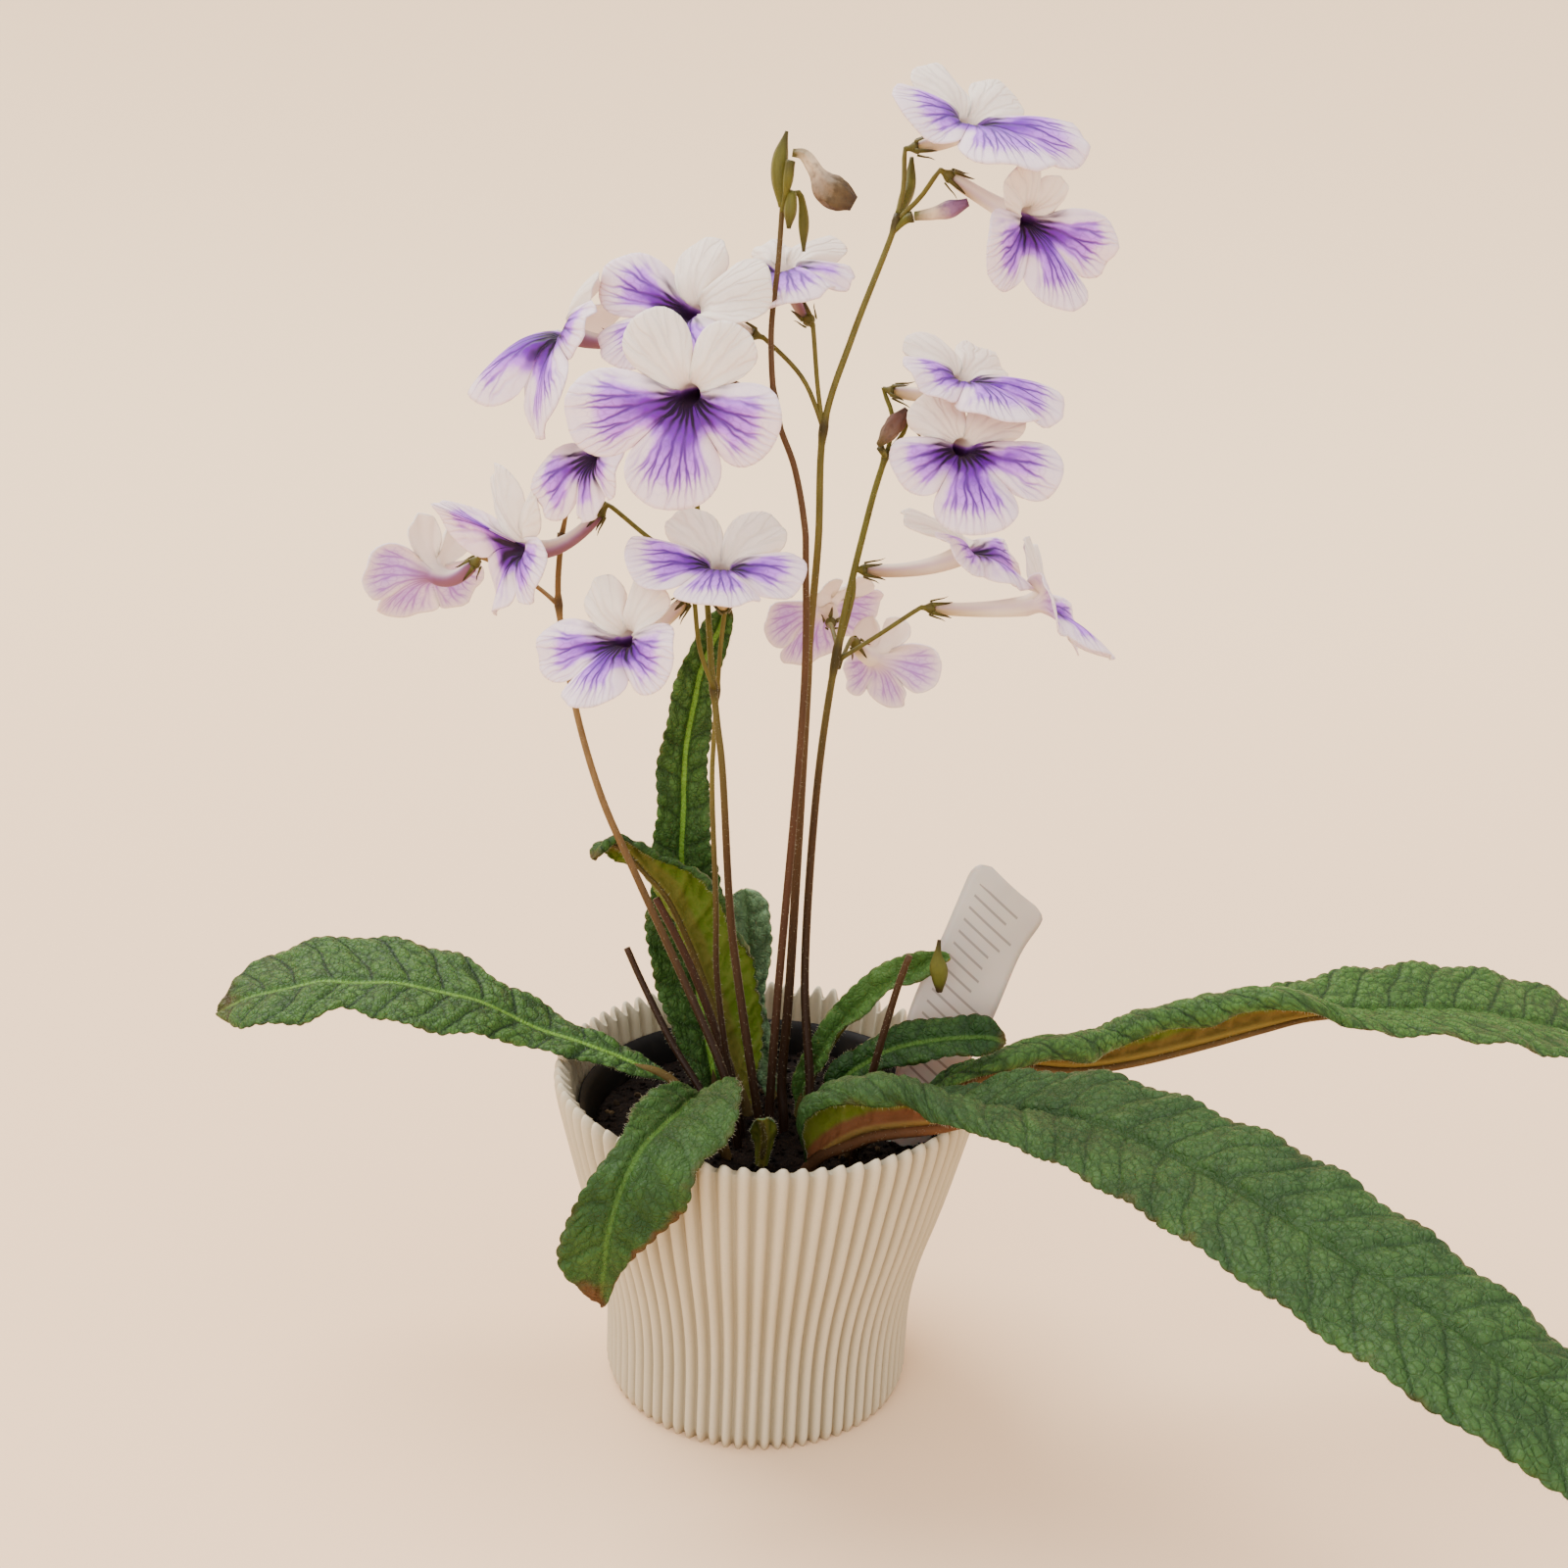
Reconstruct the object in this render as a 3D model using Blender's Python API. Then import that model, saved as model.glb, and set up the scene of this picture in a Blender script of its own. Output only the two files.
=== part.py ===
"""A cape primrose in its ribbed pot: pot, inner pot, soil, tag, leaves, stems, flowers and buds."""
import math

import bmesh
import bpy
from mathutils import Vector

MM = 0.001             # every table below is in millimetres, the meshes are in metres
PETIOLE_FOOT = 1.9     # radius of a leaf stalk where it stands in the soil
GAP = 0.35             # clearance round a foot in the soil, and under a seated flower

POT_RIBS = 74
POT_PROFILE = ((0, 43.5), (25, 43.5), (40, 46), (60, 52), (92, 59.8))
POT_RIM = 94.0
POT_CUSP = 92.6        # the rim between two ribs
POT_INNER = (92, 40)
POT_FLOOR = (6.0, 37.0)     # height of the pot's floor and its radius
GROOVE = 0.28          # depth of an outer groove, in rib pitches
WALL = 1.0             # wall from crest to crest, in rib pitches

LINER_SIDES = 36
LINER_WALL = 0.8
LINER_BASE = 6.3
LINER_PROFILE = ((6.3, 32.5), (14, 34), (82, 50.8), (82.4, 52.2), (84, 52.3))
SOIL_SIDE = ((7.4, -0.35), (74.5, -0.35))
SOIL_RINGS = ((0.8, 75.4), (0.5, 76.2), (0.22, 75.8))

BLADE = 0.7            # leaf thickness
LEAF_COLUMNS = (-1, -0.55, -0.14, 0, 0.14, 0.55, 1)
FOLDED_COLUMNS = (-1, -0.55, -0.14, 0, 0.14, 0.5, 0.78, 1)
PETAL = 0.6            # petal thickness
TAG_THICK = 0.8
TAG_OUTLINE = ((37, 66), (40, 66), (43.7, 71.5), (49.7, 85.5), (54.6, 96.5), (61.1, 110),
               (67.7, 128), (72.8, 136.7), (73.2, 139.3), (71.2, 141.7), (58.8, 151.8),
               (55.5, 152.4), (53, 150.4), (51.8, 147.5), (45.2, 129.8), (41.1, 120.3),
               (37.6, 109.4), (36, 98.5), (34.6, 89.7), (33.8, 76))
TAG_FOOT_Y = -9.0      # the tag leans away from the viewer as it rises
TAG_LEAN = 0.20

# Leaves: midrib points, then for each half (right and left of the way the leaf grows, seen from
# above) its width, its lift from flat and its curl, one value a midrib point or one for all.
LEAVES = {
    "leaf_left": dict(
        line=((-13, -15, 65), (-17, -11, 78), (-25, -5, 89), (-36, -3, 94), (-46, -1, 97),
              (-55, 1, 99), (-65, 3, 101), (-80, 5, 107), (-91, 6, 109), (-105, 7, 111),
              (-116, 8, 110), (-126, 8, 110), (-137, 8, 107), (-147, 8, 104), (-156, 8, 99)),
        face=(0, 0, 1), start=3.0, rib=(2.6, 0.7),
        right=(0, 0, 3, 4.2, 4.8, 5.5, 9.2, 10.8, 16.2, 18, 20, 20, 19, 17, 3),
        left=(0, 0, 4, 6, 5, 8, 8, 13.8, 15.8, 15.2, 11.2, 16.5, 14.8, 13, 3.5),
        lift_right=14, lift_left=-14, curl_right=6, curl_left=-10, rows=15),
    "leaf_tall": dict(
        line=((-14, 15, 65), (-15.5, 19, 79), (-20.3, 27, 97.5), (-24.5, 31, 120.5),
              (-27.5, 33, 141.5), (-27.5, 34, 154.5), (-27.5, 36, 172.5), (-25.5, 37, 186.5),
              (-23.5, 38, 197.5), (-18.3, 38, 210.5), (-17.3, 37, 216.5)),
        face=(0, -1, 0), start=1.1, rib=(2.4, 0.7),
        right=(3, 6, 11, 13, 11, 9, 7.5, 6, 5, 4, 1.5),
        left=(3, 6, 11, 13.5, 9, 8.5, 8, 7, 6.6, 4.5, 1.5),
        lift_right=20, lift_left=20, curl_right=8, curl_left=8, rows=15),
    "leaf_curled": dict(
        line=((-3, 4, 65), (-6, 6, 79), (-11, 11, 89), (-16, 14, 104), (-23, 15, 122),
              (-30, 14, 137), (-37, 12, 146), (-41, 11, 152), (-45, 10, 155)),
        face=(0, 1, 0), start=1.6, rib=(2.6, 0.8),
        right=(3, 3, 4, 9, 13, 13, 10, 6, 3),
        left=(3, 5, 10, 14, 15, 12.5, 5.5, 4, 2),
        lift_right=58, lift_left=12, curl_right=25, curl_left=12, rows=13),
    "leaf_back": dict(
        line=((3, 13, 65), (1, 19, 79), (-3.5, 26, 92), (-6, 32, 105), (-8, 36, 119),
              (-9.5, 39, 131)),
        face=(0, -1, 0), start=1.2, rib=(2.3, 0.8),
        right=(3, 4, 6, 8, 9, 3.5), left=(3, 4, 6, 8, 9, 3.5),
        lift_right=18, lift_left=18, curl_right=5, curl_left=5, rows=9),
    "leaf_front": dict(
        line=((-8, -20, 65), (-11, -20, 78), (-15, -22, 91), (-19, -28, 96.5), (-22, -36, 97.5),
              (-26, -46, 98), (-30, -56, 97.5), (-34, -63, 91), (-37, -67, 80), (-38, -67, 69),
              (-39, -65, 58)),
        face=((0, 0.4, 0.9), (0, -0.9, 0.4)), start=2.6, rib=(2.6, 0.7),
        right=(0, 0, 3, 5, 9, 9, 6, 7.8, 10.8, 11.5, 1.5),
        left=(0, 0, 6, 13, 19, 20, 16.5, 17, 10.8, 4.5, 1.5),
        lift_right=(40, 40, 40, 38, 30, 16, 10, 5, 0, 0, 0),
        lift_left=(45, 45, 45, 45, 35, 22, 12, 5, 0, 0, 0),
        curl_right=-5, curl_left=-5, rows=14),
    "leaf_right_front": dict(
        line=((7, -22, 65), (14, -27, 80), (25, -31, 91), (43, -37, 98), (56, -44, 105),
              (75, -59, 112), (94, -82, 115), (110, -105, 116), (126, -124, 113),
              (140, -140, 110), (155, -153, 103), (169, -163, 96), (178, -171, 87)),
        face=(0, 0, 1), start=1.5, rib=(3.0, 0.8), columns=FOLDED_COLUMNS,
        right=(4, 20, 27, 27, 19, 18, 19, 19.8, 20.2, 20, 17, 13.5, 5),
        left=(3, 6, 9, 12, 15, 17.8, 18, 18.8, 17.8, 15.5, 14.5, 12.5, 4),
        lift_right=(100, 110, 105, 95, 50, 6, -6, -10, -10, -10, -12, -14, -16),
        lift_left=(30, 30, 28, 26, 26, 26, 26, 24, 22, 20, 18, 16, 10),
        curl_right=(-180, -200, -190, -215, -110, -35, -20, -16, -14, -14, -14, -14, -14),
        curl_left=-12, fold_right=(2, 2, 2, 2, 1.5, 1, 1, 1, 1, 1, 1, 1, 1), rows=18),
    "leaf_right_back": dict(
        line=((15, -14, 65), (27, -17, 81), (42, -16, 94), (56, -12, 100), (69, -6, 101),
              (86, 0, 98), (102, 4, 99), (120, 7, 103), (139, 10, 108), (154, 15, 110),
              (172, 19, 110), (202, 24, 109), (234, 28, 102), (252, 31, 95), (262, 33, 88)),
        face=(0, 0, 1), start=2.5, rib=(2.8, 0.8), columns=FOLDED_COLUMNS,
        right=(0, 0, 5, 12, 20.5, 25, 25.5, 27, 24, 20, 17, 21, 19.5, 12, 3),
        left=(0, 0, 4, 5, 6, 8, 10, 12, 13, 13.5, 17.5, 19.2, 18.5, 13, 3),
        lift_right=(60, 60, 60, 70, 75, 90, 105, 105, 95, 50, 12, 4, 0, -6, -8),
        lift_left=(20, 20, 20, 20, 20, 20, 20, 20, 20, 22, 24, 26, 26, 20, 10),
        curl_right=(-120, -120, -140, -160, -170, -205, -190, -215, -180, -95, -22, -12, -12, -12,
                    -12),
        curl_left=-8, fold_right=(2, 2, 2, 2, 2, 2, 2, 2, 2, 1.5, 1, 1, 1, 1, 1), rows=19),
    "leaf_upright": dict(
        line=((9, 3, 65), (9.5, 5, 79), (10.8, 5, 86), (15.3, 4, 97), (21.5, 2, 108.3),
              (30.2, -1, 118.8), (40.3, -4, 126.4), (47.2, -6, 130.9)),
        face=(-0.5, -0.6, 0.6), start=1.6, rib=(2.0, 0.7),
        right=(0, 2.5, 4, 4.5, 5, 5.5, 5, 1.5), left=(0, 2.5, 4, 4.5, 5, 5.5, 5, 1.5),
        lift_right=30, lift_left=30, curl_right=10, curl_left=10, rows=9),
    "leaf_small": dict(
        line=((14, -5, 65), (16, -6, 79), (20.6, -8, 94), (26.9, -10, 101), (33.1, -12, 106),
              (43.2, -15, 110.5), (55.7, -18, 113.5), (62.7, -19, 113)),
        face=(0, -0.6, 0.8), start=1.6, rib=(2.0, 0.7),
        right=(0, 3, 5, 5.5, 6, 6.5, 6, 2), left=(0, 3, 5, 5.5, 6, 6.5, 6, 2),
        lift_right=12, lift_left=12, curl_right=-14, curl_left=-14, rows=10),
    "young_leaf": dict(
        line=((-1, -22.5, 65), (-0.5, -24, 79), (0, -25.5, 86), (-1, -27.5, 92)),
        face=(0, 1, 0.4), start=1.3, rib=(1.8, 0.8),
        right=(2, 3, 4, 1.5), left=(2, 3, 4, 1.5),
        lift_right=25, lift_left=25, curl_right=10, curl_left=10, rows=6),
}

# Flowers: throat and calyx points, the way the face is turned (heading from the viewer, pitch,
# roll), then for the upper left, upper right, right, bottom and left lobes how far they bend
# forward, their angles off their even places and their lengths.
LOBE_ANGLES = (-32, 32, 98, 180, -98)
FLOWERS = {
    "flower_top_a": ((39, 8, 342), (27, 15, 336), (27, 41, 9), (-6, -6, 10, 25, 10),
                     (3, 12, 7, -14, -6), (20, 22, 30, 30, 24)),
    "flower_top_b": ((53.6, 5, 320), (35, 8, 329), (40, -14, -6), (10, 10, 24, 48, 24),
                     (-1, 12, 10, -12, -12), (17, 13, 26, 26, 24)),
    "flower_mid_a": ((-25, -32, 277), (-17, -12, 278), (-6, -5, 4), (-13, -13, 14, 17, 14),
                     (-9, 6, 2, 10, -8), (22, 20, 24, 27, 29)),
    "flower_mid_b": ((-27.4, -2, 295), (-12, 9, 290), (-37, 13, 35), (-16, -16, 24, 35, 24),
                     (-3, -8, 13, 8, -13), (20, 23, 25, 24, 24)),
    "flower_mid_c": ((-59.5, 2, 289.5), (-46, 11, 286.6), (-85, 28, -30), (-35, -9, -20, -19, 23),
                     (10, 0, 0, 3, -20), (21, 17, 18, 29, 32)),
    "flower_high": ((-5, 16, 307), (2, 8, 294), (-19, 52, -8), (-13, -13, -12, 11, -12),
                    (-2, 12, 4, -34, 16), (16, 19, 19, 24, 11)),
    "flower_left_a": ((-97.7, 33, 221.9), (-84.4, 21, 227.1), (-131, 20, -14), (18, 18, 6, 25, 6),
                      (4, -2, -2, 1, -3), (17, 17, 22, 21, 21)),
    "flower_left_b": ((-70.3, 11, 234.1), (-49.9, 11, 243.2), (-91, 24, -4), (41, 2, -28, -5, 78),
                      (2, -8, 4, 3, -2), (23, 24, 22, 20, 26)),
    "flower_left_c": ((-49, -13, 261.1), (-46.7, -1, 263.9), (-42, -9, -8), (-45, -50, 22, 21, 12),
                      (0, 1, 20, 1, -25), (14, 11, 17, 17, 23)),
    "flower_near_a": ((-17, -18, 236), (-16.5, -2, 222.5), (3, 44, 4), (-6, -6, 10, 32, 10),
                      (-7, 7, 3, -5, 3), (20, 21, 22, 25, 24)),
    "flower_near_b": ((-40, -22, 217), (-26, -10, 225), (-32, 10, -4), (-5, -5, 18, 43, 18),
                      (-2, -6, 6, 8, -7), (18, 18, 22, 23, 23)),
    "flower_right_a": ((41.8, 6, 282), (25, 18, 277), (33, 44, 12), (-13, -13, 9, 26, 9),
                       (-4, 14, 14, -10, -11), (19, 21, 27, 27, 21)),
    "flower_right_b": ((41.6, -4, 266), (31, 14, 270), (-2, 21, -2), (-21, -21, 1, 16, 1),
                       (-8, 20, 12, -18, -9), (19, 20, 26, 26, 19)),
    "flower_low_a": ((47, 12, 238), (20, 14, 231), (68, 37, 11), (-25, -25, 6, 26, 6),
                     (-4, 2, 0, 7, 0), (21, 18, 22, 20, 22)),
    "flower_low_b": ((66, 14, 224), (38, 12, 222), (76, 15, 18), (0, 0, 16, 44, 16),
                     (-1, -1, 9, 0, 0), (19, 19, 24, 25, 23)),
    "flower_back_a": ((10, 44, 215), (12, 32, 213), (216, 15, 1), (-33, -33, -1, 14, -1),
                      (0, -4, 2, 0, 3), (17, 17, 20, 22, 21)),
    "flower_back_b": ((25, 40, 202), (19, 30, 208), (137, -16, 12), (8, 8, 22, 39, 22),
                      (-8, 0, 10, 1, 1), (14, 14, 18, 17, 20)),
}

# Stems: the main line with its radii at foot and tip, then side stalks; a stalk that bears a
# flower ends in that flower's calyx.
STEMS = {
    "stem_stub_left": dict(
        line=((-12, -9, 65), (-14, -7, 79), (-19, -2, 87), (-27.5, 4, 98), (-36.5, 10, 113),
              (-41, 12, 122)), radii=(1.8, 1.5)),
    "stem_stub_right": dict(
        line=((23, -20, 65), (24.5, -20, 79), (27.4, -20, 100), (29.8, -20, 112.5),
              (32.8, -20, 126.6), (35.5, -20, 136.4)), radii=(1.6, 1.2)),
    "stem_red": dict(
        line=((-10, -2, 65), (-10, 0, 79), (-10, 2, 88), (-14, 4, 99), (-23, 7, 120),
              (-33, 10, 138)), radii=(1.7, 1.3)),
    "stem_left": dict(
        line=((-6, -13, 65), (-8, -12, 79), (-12, -9, 95), (-24, -2, 119), (-38, 2, 147.5),
              (-48, 5, 168.5), (-56, 11, 192), (-61, 15, 218), (-60.5, 16, 237)),
        radii=(1.8, 1.1),
        stalks=((((-61, 15, 218), (-68, 20, 222), (-75.5, 23.5, 225.3)), "flower_left_a"),
                (((-60.5, 16, 236), (-57, 14, 249)), "flower_left_c"))),
    "stem_near_a": dict(
        line=((-5, -7, 65), (-7, -6, 79), (-11, -3, 94), (-15, 0, 119), (-16, 1, 140),
              (-18, 1, 172), (-18, 0, 186), (-17.4, -0.5, 202)),
        radii=(1.7, 1.0),
        stalks=((((-17.4, -0.5, 200), (-17, -1, 211)), "flower_near_a"),)),
    "stem_near_b": dict(
        line=((0, -16, 65), (-1, -14, 79), (-3, -13, 90), (-9, -10, 123), (-12, -9, 144),
              (-15, -9, 180), (-17, -8, 194), (-19, -5, 208), (-21, 2, 224), (-23.5, 4, 241),
              (-24.5, 2, 250), (-25, 0, 257)),
        radii=(1.8, 0.9),
        stalks=((((-18, -7, 202), (-22, -8, 213)), "flower_near_b"),
                (((-21.5, 3, 229), (-36, 5, 238)), "flower_left_b"))),
    "stem_mid": dict(
        line=((1.5, -10.5, 65), (1, -9, 79), (1, -7, 90), (2, -5, 122), (5, -4, 198),
              (4, -4, 235), (3, -4, 246), (0, -4, 259), (-5, -4, 272), (-7, -3, 290),
              (-6, -2, 307), (-5.5, -2, 322)),
        radii=(1.8, 0.9),
        stalks=((((-5, -4, 271), (-11, -6, 276)), "flower_mid_a"),
                (((-6, -4, 275), (-18, 4, 279), (-33, 10, 284)), "flower_mid_c")),
        buds=(((-5.5, -2, 320), 1.0, (-6.5, -2, 326), 1.9, (-6.5, -2, 331), 1.8, (-5.2, -2, 337), 0.4),
              ((-5, -2.5, 321), 0.8, (-3.5, -4.5, 323), 1.2, (-3.6, -5, 319), 1.5,
               (-3.8, -5, 315), 0.5),
              ((-5, -2, 321), 0.7, (-2, 0, 323.5), 0.8, (-0.6, 1, 319.5), 1.3, (0, 1, 310), 0.4),
              ((-5.5, -2, 319), 0.7, (-4.5, -6, 325), 0.7, (-4.1, -6.6, 329), 1.2,
               (-3.9, -6.6, 330.2), 1.1))),
    "stem_top": dict(
        line=((5.5, -5.5, 65), (5, -3, 79), (4, 0, 90), (5, 2, 119), (6, 4, 196), (6, 4, 214),
              (7, 4, 240), (7, 5, 268), (13, 9, 290), (21, 12, 313), (23, 13, 320)),
        radii=(1.9, 1.0),
        stalks=((((23, 13, 319), (24, 14, 327)), "flower_top_a"),
                (((22, 13, 318), (28, 11, 324)), "flower_top_b"),
                (((7, 5, 267), (5, 6, 278)), "flower_high"),
                (((7, 5, 268), (1, 7, 280)), "flower_mid_b")),
        buds=(((23, 13, 320), 0.9, (25.5, 18, 326), 1.6, (26, 20, 330), 1.5, (26, 20.6, 334), 0.5),
              ((22, 12.6, 316), 0.8, (25, 11.8, 318.8), 0.9, (26.6, 11.4, 319.5), 1.4))),
    "stem_right": dict(
        line=((10, -11, 65), (11, -7, 79), (11.8, -3, 90), (9, 4, 122), (10, 9, 173),
              (14, 12, 213), (20, 15, 246), (24, 17, 262)),
        radii=(1.8, 1.1),
        stalks=((((24, 17, 261), (25, 18, 270)), "flower_right_a"),
                (((24, 17, 261), (28, 16, 267)), "flower_right_b"),
                (((14, 12, 210), (17, 13, 224)), "flower_low_a"),
                (((14, 12, 207), (24, 12, 214)), "flower_low_b"),
                (((14, 12, 209), (12, 22, 214)), "flower_back_a"),
                (((14, 12, 205), (17, 21, 210)), "flower_back_b")),
        buds=(((23.5, 16.5, 260.5), 0.8, (22, 13.5, 262.8), 1.0),)),
}

# Buds and withered flowers of other colours: centre line points with their radii.
BUDS = {
    "bud_purple": ("bud_purple", ((27.1, 11.2, 319.7), 1.1, (31.5, 9.8, 320.4), 1.5,
                                  (36.5, 8.5, 322), 2.1, (39.6, 7.8, 323.4), 1.0)),
    "bud_withered": ("withered", ((21.5, 12.5, 263.6), 0.8, (23.2, 11.6, 266), 2.0,
                                  (26.2, 11.6, 270.5), 2.2, (28.2, 11.8, 273), 0.9)),
    "flower_withered": ("withered", ((-3.6, -6.7, 331.9), 0.9, (-0.5, -6.9, 331.2), 1.4,
                                     (4, -7, 325.2), 1.9, (7, -7, 323.2), 3.3,
                                     (9.8, -7, 322), 3.5, (11.4, -7, 321.2), 1.6)),
    "bud_fallen": ("bud", ((44, -9.6, 137), 0.5, (43.8, -10.5, 132), 1.0, (44.5, -11, 127.6), 2.3,
                           (44.8, -11, 124.5), 2.0, (44.9, -11, 122.8), 0.9)),
}


def catmull(p0, p1, p2, p3, t):
    """One point of the smooth curve through four points."""
    return 0.5 * ((2 * p1) + (p2 - p0) * t + (2 * p0 - 5 * p1 + 4 * p2 - p3) * t * t
                  + (3 * p1 - p0 - 3 * p2 + p3) * t * t * t)


def smooth_line(points, count, start=0.0):
    """Evenly spaced points of the smooth curve, each with its place in the point list."""
    pts = [Vector(p) for p in points]
    ends = [2 * pts[0] - pts[1]] + pts + [2 * pts[-1] - pts[-2]]
    dense = []
    for i in range(len(pts) - 1):
        for k in range(12):
            t = k / 12
            if i + t >= start - 1e-6:
                dense.append((catmull(ends[i], ends[i + 1], ends[i + 2], ends[i + 3], t), i + t))
    dense.append((pts[-1], len(pts) - 1.0))
    run = [0.0]
    for a, b in zip(dense, dense[1:]):
        run.append(run[-1] + (b[0] - a[0]).length)
    out = []
    k = 0
    for i in range(count):
        goal = run[-1] * i / (count - 1)
        while k < len(run) - 2 and run[k + 1] < goal:
            k += 1
        f = (goal - run[k]) / (run[k + 1] - run[k])
        out.append((dense[k][0].lerp(dense[k + 1][0], f),
                    dense[k][1] + (dense[k + 1][1] - dense[k][1]) * f))
    return out


def value_at(values, place):
    """A table's value between two midrib points, or the one value for all."""
    if not isinstance(values, tuple):
        return float(values)
    i = min(int(place), len(values) - 2)
    f = place - i
    return values[i] * (1 - f) + values[i + 1] * f


def tangents(points):
    """Unit directions along a line of points."""
    out = []
    for i in range(len(points)):
        a = points[max(i - 1, 0)]
        b = points[min(i + 1, len(points) - 1)]
        out.append((b - a).normalized())
    return out


def carried_frames(points, first):
    """Frames carried along a line without twist, starting from a side direction."""
    frames = []
    side = first
    for t in tangents(points):
        side = (side - side.dot(t) * t).normalized()
        frames.append((t, side, t.cross(side)))
    return frames


def mesh_from(name, points, faces):
    """A triangulated mesh object from millimetre points."""
    bm = bmesh.new()
    verts = [bm.verts.new(Vector(p) * MM) for p in points]
    for f in faces:
        bm.faces.new([verts[i] for i in f])
    bmesh.ops.recalc_face_normals(bm, faces=bm.faces[:])
    bmesh.ops.triangulate(bm, faces=bm.faces[:])
    mesh = bpy.data.meshes.new(name)
    bm.to_mesh(mesh)
    bm.free()
    obj = bpy.data.objects.new(name, mesh)
    bpy.context.scene.collection.objects.link(obj)
    return obj


def tube_mesh(points, radii, sides, last=None):
    """Points and faces of a closed round stalk along a line of points."""
    pts = [Vector(p) for p in points]
    first = (pts[1] - pts[0]).cross(Vector((0.3, 1, 0.2)))
    frames = carried_frames(pts, first)
    if last is not None:
        for i in (-1, -2, -3):
            side = (frames[i][1] - frames[i][1].dot(last) * last).normalized()
            frames[i] = (last, side, last.cross(side))
    verts = []
    for p, r, (t, a, b) in zip(pts, radii, frames):
        for k in range(sides):
            w = 2 * math.pi * k / sides
            verts.append(p + a * (r * math.cos(w)) + b * (r * math.sin(w)))
    faces = [tuple(range(sides))[::-1], tuple(range(len(verts) - sides, len(verts)))]
    for i in range(len(pts) - 1):
        for k in range(sides):
            n = (k + 1) % sides
            faces.append((i * sides + k, i * sides + n, (i + 1) * sides + n, (i + 1) * sides + k))
    return verts, faces


def stem_rings(line):
    """How many rings a stem is drawn with: one every 18 mm or so."""
    length = sum((Vector(b) - Vector(a)).length for a, b in zip(line, line[1:]))
    return max(5, int(length / 18) + 1)


def apply_modifiers(obj):
    """Turn an object's modifiers into its mesh."""
    graph = bpy.context.evaluated_depsgraph_get()
    mesh = bpy.data.meshes.new_from_object(obj.evaluated_get(graph))
    obj.modifiers.clear()
    obj.data = mesh


def triangulate(obj):
    """Split every face into triangles."""
    bm = bmesh.new()
    bm.from_mesh(obj.data)
    bmesh.ops.triangulate(bm, faces=bm.faces[:])
    bm.to_mesh(obj.data)
    bm.free()


def thicken(obj, depth):
    """Give a sheet its thickness, half on either side."""
    mod = obj.modifiers.new("thickness", "SOLIDIFY")
    mod.thickness = depth * MM
    mod.offset = 0.0
    mod.use_even_offset = False
    apply_modifiers(obj)
    triangulate(obj)


def boolean(host, others, operation):
    """One Boolean of a node's pieces, which are then removed."""
    group = bpy.data.collections.new("pieces")
    bpy.context.scene.collection.children.link(group)
    for piece in others:
        group.objects.link(piece)
    mod = host.modifiers.new("join", "BOOLEAN")
    mod.operation = operation
    mod.operand_type = "COLLECTION"
    mod.collection = group
    mod.solver = "MANIFOLD"
    apply_modifiers(host)
    for piece in others:
        bpy.data.objects.remove(piece)
    bpy.data.collections.remove(group)


def finish(obj, name, slot, smooth=False):
    """Name a node, give it its own material and clean its surface."""
    bm = bmesh.new()
    bm.from_mesh(obj.data)
    bmesh.ops.remove_doubles(bm, verts=bm.verts[:], dist=0.00001)
    bmesh.ops.dissolve_degenerate(bm, edges=bm.edges[:], dist=0.000005)
    bmesh.ops.triangulate(bm, faces=bm.faces[:])
    for face in bm.faces:
        face.smooth = smooth
    bm.to_mesh(obj.data)
    bm.free()
    obj.name = name
    obj.data.name = name
    mat = bpy.data.materials.new(name)
    mat.use_nodes = True
    shader = mat.node_tree.nodes["Principled BSDF"]
    colour, rough = SLOTS[slot]
    shader.inputs["Base Color"].default_value = (*colour, 1.0)
    shader.inputs["Roughness"].default_value = rough
    obj.data.materials.clear()
    obj.data.materials.append(mat)
    return obj


# Linear colour and roughness of each kind of surface.
SLOTS = {
    "glazed_clay": ((0.62, 0.54, 0.43), 0.75),
    "black_plastic": ((0.012, 0.012, 0.013), 0.4),
    "soil": ((0.03, 0.02, 0.012), 0.95),
    "tag": ((0.66, 0.64, 0.6), 0.5),
    "leaf": ((0.06, 0.16, 0.03), 0.6),
    "stem": ((0.16, 0.13, 0.03), 0.6),
    "petal": ((0.72, 0.68, 0.76), 0.6),
    "bud": ((0.22, 0.2, 0.05), 0.6),
    "bud_purple": ((0.3, 0.18, 0.42), 0.6),
    "withered": ((0.16, 0.09, 0.04), 0.8),
}


def profile_radius(profile, z):
    """A radius between two heights of a profile."""
    for (z0, r0), (z1, r1) in zip(profile, profile[1:]):
        if z <= z1:
            return r0 + (r1 - r0) * max(z - z0, 0) / (z1 - z0)
    return profile[-1][1]


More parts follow.
